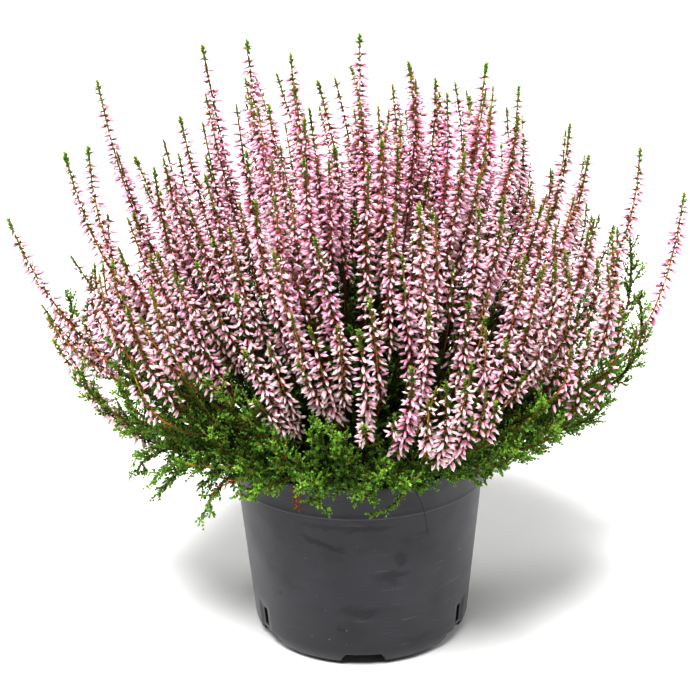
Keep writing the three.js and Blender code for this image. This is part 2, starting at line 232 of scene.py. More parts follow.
class Pile:
    """Points, triangles and colour coordinates, gathered from many copies into one mesh."""

    def __init__(self):
        self.points, self.faces, self.colours, self.count = [], [], [], 0

    def add(self, points, faces, colours):
        self.points.append(points.reshape(-1, 3))
        self.colours.append(colours.reshape(-1, 2))
        self.faces.append(faces.reshape(-1, 3) + self.count)
        self.count += len(self.points[-1])

    def mesh(self, name, material, smooth):
        return mesh_object(name, np.concatenate(self.points), np.concatenate(self.faces),
                           np.concatenate(self.colours), material, smooth)


def mesh_object(name, points, faces, colours, material, smooth):
    """An object at the origin whose mesh has these points, in mm, and equal-sided faces. colours is
    the map OFBake: across is an item's tone and up is the way along it."""
    mesh = bpy.data.meshes.new(name)
    sides = faces.shape[1]
    mesh.vertices.add(len(points))
    mesh.vertices.foreach_set("co", (points * MM).astype(np.float32).ravel())
    mesh.loops.add(faces.size)
    mesh.loops.foreach_set("vertex_index", faces.astype(np.int32).ravel())
    mesh.polygons.add(len(faces))
    mesh.polygons.foreach_set("loop_start", np.arange(0, faces.size, sides, dtype=np.int32))
    mesh.polygons.foreach_set("use_smooth", np.full(len(faces), smooth))
    if colours is not None:
        layer = mesh.uv_layers.new(name="OFBake")
        layer.uv.foreach_set("vector", colours[faces.ravel()].astype(np.float32).ravel())
    mesh.materials.append(material)
    mesh.update(calc_edges=True)
    thing = bpy.data.objects.new(name, mesh)
    bpy.context.scene.collection.objects.link(thing)
    return thing


def ring_corners(rings, sides):
    """Point numbers of the quads between neighbouring rings: here and beside it, then the same two
    in the next ring. Each is an array of one row for each gap between rings."""
    here = np.arange(sides)
    row = sides * np.arange(rings - 1)[:, None]
    a, b = row + here, row + (here + 1) % sides
    return a, b, a + sides, b + sides


def triangles(*sets):
    """Triangles from sets of three arrays of point numbers, one set after another."""
    return np.concatenate([np.stack(np.broadcast_arrays(*three), -1).reshape(-1, 3) for three in sets])


def ringed_shape(radii, heights, sides):
    """A closed spindle of unit height about +Z: a point, one ring for each radius, and a point."""
    turn = 2 * np.pi * np.arange(sides) / sides
    ring = np.stack([np.cos(turn), np.sin(turn), np.zeros(sides)], axis=1)
    rings = [ring * (radius, radius, 0) + (0, 0, height) for radius, height in zip(radii, heights)]
    points = np.concatenate([[(0, 0, 0)], *rings, [(0, 0, 1)]])
    a, b, c, d = [1 + corner for corner in ring_corners(len(radii), sides)]
    top = len(points) - 1
    return points, triangles((0, b[0], a[0]), (a, b, c), (b, d, c), (c[-1], d[-1], top))


BUD = ringed_shape((0.8, 0.95), (0.16, 0.68), 4)
SIDE_BUD = ringed_shape((0.95, 1.0), (0.2, 0.7), 3)
CRUMB = ringed_shape((0.9, 0.8), (0.25, 0.7), 6)
# A bract is a sliver with a flat upper face, a keel below and a pointed end.
BRACT = (
    np.array([(-1, 0.3, 0.0), (1, 0.3, 0.0), (0, -0.7, 0.25), (0, 0.15, 1.0)]),
    np.array([(0, 1, 2), (0, 3, 1), (1, 3, 2), (2, 3, 0)]),
)
# Two opposite scale leaves in a V, keeled below, that share the middle where they clasp the stem.
LEAF_PAIR = (
    np.array([(-1, 0, 1.0), (1, 0, 1.0), (0, -1, 0.35), (0, 1, 0.35), (0, 0, 0.0)]),
    np.array([(0, 2, 3), (1, 3, 2), (0, 4, 2), (0, 3, 4), (1, 2, 4), (1, 4, 3)]),
)
TONE_WIDTH = 0.012
MAP_FOOT, MAP_RISE = 0.02, 0.96


def map_places(tone, side, share):
    """Places on the map OFBake: across by an item's tone, and by a hair for a point's own side of
    it, and up by the share along it, both kept off the map's edges."""
    sideways = tone * (1 - 2 * TONE_WIDTH) + TONE_WIDTH * (1 + side)
    return np.stack(np.broadcast_arrays(sideways, MAP_FOOT + MAP_RISE * share), axis=-1)


def add_copies(pile, shape, place, along, right, size, tone):
    """Copies of shape: a point (x, y, z) of it lands at place plus x, y and z times size along
    right, their cross product and along. Colours go by tone across and by z up."""
    points, faces = shape
    up = np.cross(along, right)
    axes = np.stack([right, up, along], axis=1) * size[:, :, None]
    where = place[:, None, :] + np.einsum("kj,njc->nkc", points, axes)
    first = np.arange(len(place)) * len(points)
    colours = map_places(np.clip(tone, 0, 1)[:, None], points[:, 0], points[:, 2])
    pile.add(where, faces[None] + first[:, None, None], colours)


def add_tubes(pile, lines, radii, hint, sides, tone, age):
    """Closed tubes along lines, one ring for each place of a line: the place plus the radius times
    the cosine and sine of a turn on two axes square to the line. lines is (n, m, 3), radii and age,
    which is the colour's way up, are (n, m), hint is (n, 3) and tone is (n,)."""
    count, rings = radii.shape
    along = unit(np.gradient(lines, axis=1))
    right = squared_to(along, np.broadcast_to(hint[:, None], lines.shape))
    up = np.cross(along, right)
    turn = 2 * np.pi * np.arange(sides) / sides
    ring = (np.cos(turn)[:, None] * right[:, :, None] + np.sin(turn)[:, None] * up[:, :, None])
    points = lines[:, :, None] + radii[:, :, None, None] * ring
    a, b, c, d = ring_corners(rings, sides)
    fan = np.arange(1, sides - 1)
    last = sides * (rings - 1)
    faces = triangles((a, b, c), (b, d, c), (0, fan + 1, fan), (last, last + fan, last + fan + 1))
    first = np.arange(count) * rings * sides
    colours = map_places(tone[:, None, None], np.cos(turn), np.clip(age, 0, 1)[:, :, None])
    pile.add(points, faces[None] + first[:, None, None], colours)


# -------- parts of materials

def srgb(*levels):
    """Linear colour of a red, green and blue from 0 to 255."""
    return [((c / 255 + 0.055) / 1.055) ** 2.4 if c > 10 else c / 255 / 12.92 for c in levels] + [1.0]


def grey(level):
    """Linear grey of a level from 0 to 1."""
    return (level, level, level, 1)


def new_material(name, roughness, specular):
    """A new material, its tree of nodes and its shader."""
    material = bpy.data.materials.new(name)
    material.use_nodes = True
    shader = material.node_tree.nodes["Principled BSDF"]
    shader.inputs["Roughness"].default_value = roughness
    shader.inputs["Specular IOR Level"].default_value = specular
    return material, material.node_tree, shader


def fill_socket(tree, socket, value):
    """Links a socket to another one, or sets it to a fixed value."""
    if isinstance(value, bpy.types.NodeSocket):
        tree.links.new(value, socket)
    else:
        socket.default_value = value


def add_node(tree, kind, inputs, **settings):
    """A node with these settings, and with each input linked or set."""
    node = tree.nodes.new(f"ShaderNode{kind}")
    for name, value in settings.items():
        setattr(node, name, value)
    for name, value in inputs.items():
        fill_socket(tree, node.inputs[name], value)
    return node


def add_mix(tree, factor, first, second, blend="MIX"):
    """first at factor 0 and second at factor 1, or their product where blend says so."""
    mix = add_node(tree, "Mix", {}, data_type="RGBA", blend_type=blend)
    for name, value in (("Factor", factor), ("A", first), ("B", second)):
        fill_socket(tree, [s for s in mix.inputs if s.name == name and s.enabled][0], value)
    return [s for s in mix.outputs if s.enabled][0]


def add_ramp(tree, source, *stops):
    """A colour ramp over source, with one (place, colour) for each stop."""
    ramp = add_node(tree, "ValToRGB", {"Fac": source})
    elements = ramp.color_ramp.elements
    while len(elements) < len(stops):
        elements.new(1.0)
    for element, (place, color) in zip(elements, stops):
        element.position = place
        element.color = color
    return ramp.outputs["Color"]


def mask(tree, source, first, last, most=1.0):
    """0 where source is under first, and up to most where it is over last."""
    return add_ramp(tree, source, (first, grey(0)), (last, grey(most)))


def noise(tree, place, scale, detail=4.0, rough=0.55):
    """Cloud noise on a vector, with scale in waves per metre."""
    inputs = {"Vector": place, "Scale": scale, "Detail": detail, "Roughness": rough}
    return add_node(tree, "TexNoise", inputs).outputs["Fac"]


def stretched(tree, scale):
    """Object coordinates, stretched by scale on each axis."""
    where = add_node(tree, "TexCoord", {}).outputs["Object"]
    return add_node(tree, "Mapping", {"Vector": where, "Scale": scale}).outputs["Vector"]


def wobbled(tree, place, scale, amount):
    """The vector place, moved to and fro by noise, by up to half of amount millimetres."""
    cloud = add_node(tree, "TexNoise", {"Vector": place, "Scale": scale, "Detail": 5.0})
    inputs = {0: cloud.outputs["Color"], 1: (0.5, 0.5, 0.5)}
    centred = add_node(tree, "VectorMath", inputs, operation="SUBTRACT")
    inputs = {0: centred.outputs["Vector"], "Scale": amount * MM}
    scaled = add_node(tree, "VectorMath", inputs, operation="SCALE")
    inputs = {0: place, 1: scaled.outputs["Vector"]}
    return add_node(tree, "VectorMath", inputs, operation="ADD").outputs["Vector"]


def add_bump(tree, shader, height, strength, depth):
    """Fine relief in the shading, depth millimetres deep."""
    inputs = {"Height": height, "Strength": strength, "Distance": depth * MM}
    tree.links.new(add_node(tree, "Bump", inputs).outputs["Normal"], shader.inputs["Normal"])


# -------- materials of the plant

def toned_material(name, low, high, roughness, specular):
    """Colour by the map OFBake: along an item by the stops, from the low ones at tone 0 to the high
    ones at tone 1. A stop is a place along it and a red, green and blue from 0 to 255."""
    material, tree, shader = new_material(name, roughness, specular)
    where = add_node(tree, "UVMap", {}, uv_map="OFBake")
    split = add_node(tree, "SeparateXYZ", {"Vector": where.outputs["UV"]})
    ends = [add_ramp(tree, split.outputs["Y"], *[(place, srgb(*levels)) for place, *levels in stops])
            for stops in (low, high)]
    tree.links.new(add_mix(tree, split.outputs["X"], *ends), shader.inputs["Base Color"])
    return material


def blossom_material():
    """Buds: a dark calyx at the foot, partly its own green and partly painted shade at the bud's root,
    rose above it and paler to a near-white point, partly its own pale tip and partly a painted
    highlight; from cream to pink.
    """
    # The first stop of each ramp is darkened with painted shade, and the last is lightened with a painted
    # highlight.
    low = ((0.0, 48, 56, 18), (0.12, 148, 104, 72), (0.24, 240, 190, 198),
           (0.55, 250, 226, 230), (1.0, 255, 250, 243))
    high = ((0.0, 50, 44, 16), (0.12, 172, 70, 96), (0.26, 232, 126, 174),
            (0.6, 250, 188, 220), (1.0, 254, 234, 245))
    return toned_material("blossom", low, high, 0.5, 0.4)


def foliage_material():
    """Scale leaves: from near-black green, which is painted shade deep in the bush, to fresh
    yellow-green at growing tips.
    """
    # The low stops are nearly black: painted shade for leaves inside and under the bush.
    low = ((0.0, 5, 11, 3), (1.0, 36, 68, 20))
    high = ((0.0, 92, 146, 46), (1.0, 176, 216, 104))
    return toned_material("foliage", low, high, 0.45, 0.35)


def wood_material():
    """Stems: near-black grey-brown at the foot, partly old bark and partly painted shade inside the
    bush, red-brown and orange higher up, green at the tip.
    """
    # The first stops are nearly black: old wood's colour darkened with painted shade.
    low = ((0.0, 16, 11, 8), (0.35, 30, 20, 12), (0.6, 84, 52, 30),
           (0.8, 128, 84, 46), (0.93, 126, 92, 48), (1.0, 80, 104, 40))
    high = ((0.0, 30, 22, 16), (0.35, 58, 36, 22), (0.6, 136, 80, 48),
            (0.8, 216, 136, 80), (0.93, 204, 144, 82), (1.0, 130, 152, 62))
    return toned_material("wood", low, high, 0.6, 0.3)


# -------- materials of pot, soil and floor

# Darker smears on the pot's front: place sideways, height, width, depth, tilt in degrees, strength.
SMEARS = ((-17.4, 62, 22, 3.6, -17, 0.8), (17.4, 55, 7, 8, 0, 0.55), (13, 46, 15, 7, 3, 0.6),
          (-1.5, 29, 20, 5, -2, 0.7), (34.5, 27, 12, 22, 4, 0.5), (-6, 19, 15, 12, 20, 0.35),
          (4, 71, 20, 3.6, 2, 0.5), (-34, 40, 12, 9, -30, 0.35), (24, 64, 16, 4, 8, 0.3),
          (-9.5, 20, 3.6, 1.6, 24, 1.0), (-37, 32, 2, 2, 0, 0.9), (26, 12, 16, 6, 10, 0.5),
          (-12, 71, 34, 4, -3, 0.5))
SMEAR_FRONT, SMEAR_THICKNESS, SMEAR_SPREAD = -55.0, 30.0, 0.6


def smear(tree, place, sideways, height, width, depth, tilt):
    """1 in the middle of an oval on the pot's front, and 0 outside it: a ball whose centre is on
    the wall, stretched to the oval's width and depth and tilted."""
    inputs = {
        "Vector": place,
        "Location": (sideways * MM, SMEAR_FRONT * MM, height * MM),
        "Rotation": (0, -math.radians(tilt), 0),
        "Scale": (width * SMEAR_SPREAD * MM, SMEAR_THICKNESS * MM, depth * SMEAR_SPREAD * MM),
    }
    inside = add_node(tree, "Mapping", inputs, vector_type="TEXTURE").outputs["Vector"]
    ball = add_node(tree, "TexGradient", {"Vector": inside}, gradient_type="SPHERICAL")
    return mask(tree, ball.outputs["Fac"], 0.05, 0.5)


def smeared(tree, place, color):
    """color, darker where the smears are; their edges are ragged because noise moves the place."""
    ragged = wobbled(tree, place, 160, 9.0)
    for *where, strength in SMEARS:
        part = add_mix(tree, strength, grey(0), smear(tree, ragged, *where))
        color = add_mix(tree, part, color, srgb(37, 36, 41))
    return color


def shade_near_foot(tree):
    """Painted shade on the lower pot: nearly 1 at the foot of the pot and 0 from half-way up, a ramp
    over the height as a share of the pot's."""
    upright = stretched(tree, (1, 1, 1000 / POT_HEIGHT))
    split = add_node(tree, "SeparateXYZ", {"Vector": upright})
    return add_ramp(tree, split.outputs["Z"], (0.06, grey(0.9)), (0.5, grey(0)))


def scratches(tree, place):
    """Fine level lines: noise that is squeezed upright, and shows in patches only."""
    lines = mask(tree, noise(tree, stretched(tree, (1, 1, 14)), 45, 8.0, 0.75), 0.58, 0.7, 0.42)
    patches = mask(tree, noise(tree, place, 22, 2.0), 0.5, 0.6)
    return add_mix(tree, 1.0, lines, patches, "MULTIPLY")


def pot_material():
    """Dark grey plastic with darker smears, pale scratches and specks, a fine moulded grain, and
    painted shade that darkens it towards the foot.
    """
    material, tree, shader = new_material("pot_plastic", 0.5, 0.5)
    shader.inputs["Sheen Weight"].default_value = 0.22
    place = stretched(tree, (1, 1, 1))
    color = add_ramp(tree, noise(tree, place, 26), (0.3, srgb(57, 56, 62)), (0.7, srgb(71, 70, 76)))
    cloud = mask(tree, noise(tree, stretched(tree, (1, 1, 1.6)), 70), 0.55, 0.75, 0.45)
    color = add_mix(tree, cloud, color, srgb(42, 41, 46))
    # Painted shade: the pot's colour darkens towards its foot, as if lit from above.
    color = add_mix(tree, shade_near_foot(tree), color, srgb(47, 46, 51))
    color = smeared(tree, place, color)
    color = add_mix(tree, scratches(tree, place), color, srgb(132, 131, 134))
    speck = mask(tree, noise(tree, place, 460, 1.0, 0.4), 0.79, 0.83, 0.7)
    color = add_mix(tree, speck, color, srgb(176, 172, 166))
    dirt = mask(tree, noise(tree, stretched(tree, (1.1, 0.9, 1)), 300, 1.0, 0.4), 0.78, 0.82, 0.9)
    color = add_mix(tree, dirt, color, srgb(70, 40, 26))
    tree.links.new(color, shader.inputs["Base Color"])
    rough = add_ramp(tree, noise(tree, place, 45), (0.3, grey(0.4)), (0.7, grey(0.56)))
    tree.links.new(rough, shader.inputs["Roughness"])
    add_bump(tree, shader, noise(tree, place, 900, 2.0), 0.12, 0.15)
    return material


def soil_material():
    """Peat: dark brown with paler fibres."""
    material, tree, shader = new_material("peat", 0.95, 0.2)
    place = stretched(tree, (1, 1, 1))
    color = add_ramp(tree, noise(tree, place, 420, 6.0), (0.3, srgb(28, 20, 15)),
                     (0.55, srgb(58, 42, 30)), (0.75, srgb(104, 78, 54)))
    tree.links.new(color, shader.inputs["Base Color"])
    add_bump(tree, shader, noise(tree, place, 900, 4.0), 0.8, 0.8)
    return material


def floor_material():
    """Matt, nearly white paper with the faintest grain."""
    material, tree, shader = new_material("studio_floor", 0.9, 0.1)
    grain = noise(tree, stretched(tree, (1, 1, 1)), 3.0)
    color = add_ramp(tree, grain, (0.3, grey(0.86)), (0.7, grey(0.88)))
    tree.links.new(color, shader.inputs["Base Color"])
    return material


# -------- the fan's rule

def draw(n, salt):
    """A repeatable draw between 0 and 1 for item n: what follows the point of a sine times a large
    number."""
    x = np.sin(n * 12.9898 + salt * 78.233) * 43758.5453
    return x - np.floor(x)


def over_rim(t):
    """How far a stem hangs over the rim: 0 up to disc radius 1, and 1 at the fan's edge."""
    return np.clip((t - 1) / (FAN_EDGE - 1), 0, HANG_MOST)


def tip_pull(t):
    """How long a stem's curve is held to its way at the tip: less with the cube of the disc radius,
    and less again where it hangs."""
    return PULL_AT_CENTRE - PULL_LOST_AT_BELT * np.minimum(t, 1) ** 3 - PULL_LOST_HANGING * over_rim(t)


def brow_lift(t):
    """How much higher than the round dome a stem ends: its outer part stands up like a brow, by a
    smooth step."""
    share = climb(t, BROW_START, BROW_WIDTH)
    return BROW_LIFT * share * share * (3 - 2 * share)


def fan_points(u, v, s):
    """Places at share s along the stems of disc coordinates (u, v), one for each item. A stem is a
    cubic curve from the crown, by a knee over the rim, to a tip on the dome, where it follows the
    way that it leans. Beyond s = 1 it goes straight on. Two sines sway it, more with the height."""
    t = np.hypot(u, v)
    out = np.stack([u / t, v / t, np.zeros_like(t)], axis=-1)
    over = over_rim(t)
    polar = np.arccos(np.clip(1 - t * t, -1, 1))
    lean = np.radians(LEAN_OUTWARD * t + LEAN_HANGING * over ** LEAN_HANGING_POWER)
    level, upright = np.sin(lean), np.cos(lean)
    way = unit(level[..., None] * out + upright[..., None] * UP
               + (upright * (1 - np.minimum(over, 1)))[..., None] * BUSH_LEAN)

    def place(radius, height):
        return radius[..., None] * out + height[..., None] * UP

    crown = place(CROWN_RADIUS * t, CROWN_HEIGHT * np.ones_like(t))
    knee = place(CROWN_RADIUS * t + KNEE_OUTWARD * t ** 3 - HANG_KNEE_IN * over,
                 CROWN_HEIGHT + KNEE_RISE - KNEE_DIP * t * t - HANG_KNEE_DOWN * over)
    tip = place(DOME_RADIUS * np.sin(polar) - HANG_TIP_IN * over,
                DOME_BELT + DOME_HEIGHT * np.cos(polar) + brow_lift(t) - HANG_TIP_DOWN * over)
    pull = tip_pull(t)[..., None]
    beyond = np.maximum(s - 1, 0)[..., None]
    point = cubic(np.clip(s, 0, 1)[..., None], crown, knee, tip - pull * way, tip)
    x, y, z = np.moveaxis(point + beyond * 3 * pull * way, -1, 0)
    sway = SWAY_SIZE * climb(z, CROWN_HEIGHT, SWAY_RISE)
    by_height, by_side, shift = SWAY_ACROSS
    swayed_x = x + sway * np.sin(z / by_height + y / by_side + shift)
    by_height, by_side, shift = SWAY_DEEP
    swayed_y = y + sway * np.sin(z / by_height - x / by_side + shift)
    return np.stack([swayed_x, swayed_y, z], axis=-1)


def spiral(count, turn):
    """Disc radius, angle and coordinates of items on a golden-angle spiral."""
    n = np.arange(count)
    t = FAN_EDGE * np.sqrt((n + 0.5) / count)
    angle = n * GOLDEN_ANGLE + turn
    return t, angle, t * np.cos(angle), t * np.sin(angle)


def round_about(angle, degrees, width):
    """1 at an angle of that many degrees, and falling off over width degrees to either side, as e
    to the power of less the square of the gap over the width."""
    away = angle - math.radians(degrees) + np.pi
    gap = away - 2 * np.pi * np.floor(away / (2 * np.pi)) - np.pi
    return np.exp(-((gap / math.radians(width)) ** 2))


def humps(angle, places):
    """Sum of humps round the plant, each of a height, at an angle and of a width in degrees."""
    return sum(height * round_about(angle, degrees, width) for height, degrees, width in places)


# -------- the shoots of this bush

# Where leaves come up the outside of the bush, so that buds start higher: further out and outmost.
GREEN_OUTER = ((0.18, -146, 24), (0.19, 3, 22))
GREEN_OUTMOST = ((0.25, -36, 15), (0.16, -68, 14))
# The share of a stem at which buds start, and what makes it smaller or varies it.
BUD_START, BUD_START_LESS_OUT, BUD_START_DRAW = 0.65, 0.08, 0.08
EARLY_IN_FRONT, EARLY_AT_LEFT = 0.11, 0.12
# What makes leafy shoots longer or shorter, in shares of a stem.
LEAF_REACH_LESS_HANGING, LEAF_REACH_WITH_GREEN, GREEN_MOST_RADIUS = 0.06, 0.4, 0.84
LEAF_REACH_AT_RIGHT, LEAF_REACH_AT_LEFT, LEAF_REACH_LESS_FRONT = 0.24, 0.12, 0.28
# How wide the draws of a shoot's own way are: across, deep and up.
OWN_WAY = (13.0, 13.0, 6.0)
LOW_SKIRT = ((1.0, -150, 38), (0.7, -45, 25))
SKIRT_DROP, SKIRT_DROP_DRAW, HANGING_FLOWERS_LIFT = 3, 8, 40
BOWED_SIDES = ((1.0, -8, 38), (1.0, 180, 42))
BOW_SIDEWAYS = 12.0
# A bow is q squared times 1 - q, times this, so that it is 1 at its widest.
BOW_SCALE = 6.75
# The lowest tall tip, and the one farthest to the right, which has its buds start lower.
LOW_TIP_HEIGHT, LOW_TIP_BOW = 160, (-4.0, 0.0, -18.0)
RIGHT_TIP_PLACE, RIGHT_TIP_BOW, RIGHT_TIP_EARLY = 140, (6.0, 0.0, -14.0), 0.2
# How much higher spikes inside the bush end, and how their buds and those of tall ones start.
INNER_RISE, INNER_LATE, TALL_EARLY = 6.0, 0.04, 0.1
# The shares at which a side shoot leaves its shoot and is fully apart from it.
SIDE_FORK, SIDE_SPREAD_END = 0.42, 0.85


def green_rise(angle, t):
    """How much further up an outer stem its buds start, on the sides where leaves come up."""
    return (climb(t, 0.55, 0.25) * humps(angle, GREEN_OUTER)
            + climb(t, 0.93, 0.04) * humps(angle, GREEN_OUTMOST))


class Bush:
    """The shoots of the fan: each one's branch, its reach as a share of its stem, the share at which
    its buds start, and two bends. The pull grows with the cube of how far along its reach a place
    is, and the bow is that share squared times what is left of it, so it is widest at two thirds."""

    def __init__(self):
        self.t, self.angle, self.u, self.v = spiral(SHOOT_COUNT, 0.0)
        self.share_among_branches()
        self.tall = np.zeros(SHOOT_COUNT, bool)
        n = np.arange(SHOOT_COUNT)
        heading = np.arctan2(self.v, self.u)
        self.reach = np.where(self.flowers, self.flower_reach(n), self.leaf_reach(n, heading))
        self.bud_start = self.first_buds(n, heading)
        self.pull = self.own_pull(n, heading)
        self.bow = self.side_bow(heading)
        self.stretch_tall_shoots()
        self.raise_inner_shoots()

    def share_among_branches(self):
        """Each shoot belongs to the nearest point of a second, coarser spiral. A branch flowers if
        it lies within the edge of the flowers."""
        t, _, self.branch_u, self.branch_v = spiral(BRANCH_COUNT, BRANCH_TURN)
        heading = np.arctan2(self.branch_v, self.branch_u)
        self.branch_flowers = t < FLOWER_EDGE - humps(heading, LEAFY_PLACES)
        gaps = np.hypot(self.u[:, None] - self.branch_u, self.v[:, None] - self.branch_v)
        self.branch = gaps.argmin(axis=1)
        self.from_centre = gaps.min(axis=1)
        self.flowers = self.branch_flowers[self.branch]

    def flower_reach(self, n):
        """1 is on the dome; a draw in millimetres ends a spike a little below or above it."""
        return 1 + (REACH_LEAST + REACH_MORE * draw(n, 1) ** REACH_POWER) / (3 * tip_pull(self.t))

    def leaf_reach(self, n, heading):
        """A draw, more where leaves come up and at the left and right, and less at the front right
        where they hang."""
        over = over_rim(self.t)
        reach = LEAF_REACH_LEAST + LEAF_REACH_MORE * draw(n, 2) - LEAF_REACH_LESS_HANGING * over
        reach = reach + LEAF_REACH_WITH_GREEN * green_rise(heading, np.minimum(self.t, GREEN_MOST_RADIUS))
        reach = reach + LEAF_REACH_AT_RIGHT * round_about(heading, 4, 22) * (1 - np.minimum(over, 1))
        reach = reach + LEAF_REACH_AT_LEFT * round_about(heading, -178, 24)
        return reach * (1 - LEAF_REACH_LESS_FRONT * round_about(heading, -40, 32) * over)

    def first_buds(self, n, heading):
        """Buds start lower further out, in front and at the left, and higher where leaves come up."""
        front = round_about(heading, -112, 36) * climb(self.t, 0.5, 0.2)
        left = round_about(heading, -178, 20) * climb(self.t, 0.65, 0.2)
        return (BUD_START - BUD_START_LESS_OUT * self.t ** 2 - EARLY_IN_FRONT * front
                - EARLY_AT_LEFT * left + green_rise(heading, self.t)
                + BUD_START_DRAW * (draw(n, 7) - 0.5))

    def own_pull(self, n, heading):
        """Each shoot's own small turn from the fan. Flowers over the rim are lifted, and the
        outermost leaves drop at the front left and front right."""
        pull = (np.stack([draw(n, 3), draw(n, 4), draw(n, 5)], axis=1) - 0.5) * OWN_WAY
        low = humps(heading, LOW_SKIRT) * climb(self.t, 0.95, 0.1)
        leaf_drop = (SKIRT_DROP + SKIRT_DROP_DRAW * draw(n, 6)) * low
        pull[:, 2] -= np.where(self.flowers, -HANGING_FLOWERS_LIFT * over_rim(self.t), leaf_drop)
        return pull

    def side_bow(self, heading):
        """The outer shoots at the left and right bow away from the pot."""
        sideways = BOW_SIDEWAYS * humps(heading, BOWED_SIDES) * climb(self.t, 0.6, 0.25)
        return sideways[:, None] * np.stack([np.cos(heading), np.sin(heading), 0 * heading], axis=1)

    def stretch_tall_shoots(self):
        """Each tall tip is given to the free shoot that points at it best, and bends its end. The
        lowest one also bows down, and the one farthest to the right bows out and down."""
        tip = fan_points(self.u, self.v, self.reach)
        way = unit(tip - fan_points(self.u, self.v, self.reach - WAY_STEP))
        for target in TALL_TIPS:
            gap = target - tip
            onward = dot(gap, way)
            aside = np.linalg.norm(gap - onward * way, axis=1)
            cost = aside + TALL_MISS_ALONG * np.abs(onward[:, 0])
            cost[self.tall | ~self.flowers] = np.inf
            best = cost.argmin()
            self.tall[best] = True
            self.pull[best] = gap[best]
            if target[2] < LOW_TIP_HEIGHT:
                self.bow[best] = LOW_TIP_BOW
            elif target[0] > RIGHT_TIP_PLACE:
                self.bow[best] += RIGHT_TIP_BOW
                self.bud_start[best] -= RIGHT_TIP_EARLY

    def raise_inner_shoots(self):
        """Flowering shoots inside the bush, but for the tall ones, reach a few millimetres higher,
        buds and all. The buds of the inner tall ones start lower, to close the gap below them."""
        inner = climb(self.t, 0.8, -0.25) * (self.flowers & ~self.tall)
        higher = INNER_RISE * inner / (3 * tip_pull(self.t))
        self.reach = self.reach + higher
        inner_tall = self.tall & (self.t < 0.85)
        self.bud_start = self.bud_start + higher + INNER_LATE * inner - TALL_EARLY * inner_tall

    def lines(self, which, start, end, count, aside=None):
        """Places at count even shares from start to end along the shoots of index which. A shoot
        leaves its branch's stem at FORK and is on its own from SPREAD_END on. A side shoot leaves
        its shoot at SIDE_FORK, and later lies off it by aside, a (u, v) pair."""
        s = start[:, None] + (end - start)[:, None] * np.linspace(0, 1, count)
        share = climb(s, FORK, SPREAD_END - FORK)
        apart = share * (2 - share)
        home = self.branch[which]
        u = self.branch_u[home][:, None] + (self.u[which] - self.branch_u[home])[:, None] * apart
        v = self.branch_v[home][:, None] + (self.v[which] - self.branch_v[home])[:, None] * apart
        if aside is not None:
            off = climb(s, SIDE_FORK, SIDE_SPREAD_END - SIDE_FORK) ** 0.8
            u = u + aside[:, :1] * off
            v = v + aside[:, 1:] * off
        q = s / self.reach[which][:, None]
        places = fan_points(u, v, s) + self.pull[which][:, None] * (q ** 3)[:, :, None]
        bowed = BOW_SCALE * q * q * np.maximum(1 - q, 0)
        return places + self.bow[which][:, None] * bowed[:, :, None]

    def line(self, k, start, end, count, aside=None):
        """The same for shoot k alone, as one line of places."""
        return self.lines(np.array([k]), np.array([start]), np.array([end]), count, aside)[0]

    def bare_stem_shows(self, k):
        """Whether shoot k stands on the outside of the bush, and not at its back."""
        return self.t[k] > 0.8 and math.sin(self.angle[k]) < 0.3


# -------- spikes of buds

NODE_GAP = 1.9
TIP_LENGTH = 6.5
BUDS_UNDER_TIP, TIP_SLACK, TIP_NODES = 0.6, 5.5, 6
BUD_LENGTH, BUD_RADIUS = 4.5, 0.8
BUD_OFF_STEM = 0.8
# A bud's size, droop in degrees and tone where spikes start, just over the skirt, and how much
# less or more they are at the top of the bush.
SKIRT_TOP, BUSH_DEPTH = 105, 125
BUD_SIZE_LOW, BUD_SIZE_LESS_HIGH = 0.97, 0.16
BUD_DROOP_LOW, BUD_DROOP_LESS_HIGH = 32, 22
BUD_TONE_LOW, BUD_TONE_MORE_HIGH = 0.14, 0.5
# The heights over which buds get more neighbours in their clusters.
CROWDED_FROM, CROWDED_RISE = 150, 60
BRACT_LENGTH, BRACT_LESS_HIGH = 1.9, 0.3
BRACT_WIDTH, BRACT_WIDTH_LESS_HIGH, BRACT_THICKNESS = 0.52, 0.2, 0.46


def spike_nodes(whole):
    """Distances along a spike of length whole at which its buds grow: a node every NODE_GAP, and
    further apart near the tip by an amount that dies away over TIP_NODES of them."""
    order = np.arange(int(whole / NODE_GAP))
    looser = TIP_SLACK * (1 - np.exp(-order / TIP_NODES))
    down = BUDS_UNDER_TIP * TIP_LENGTH + NODE_GAP * order + looser
    return whole - down[down < whole - 0.5]


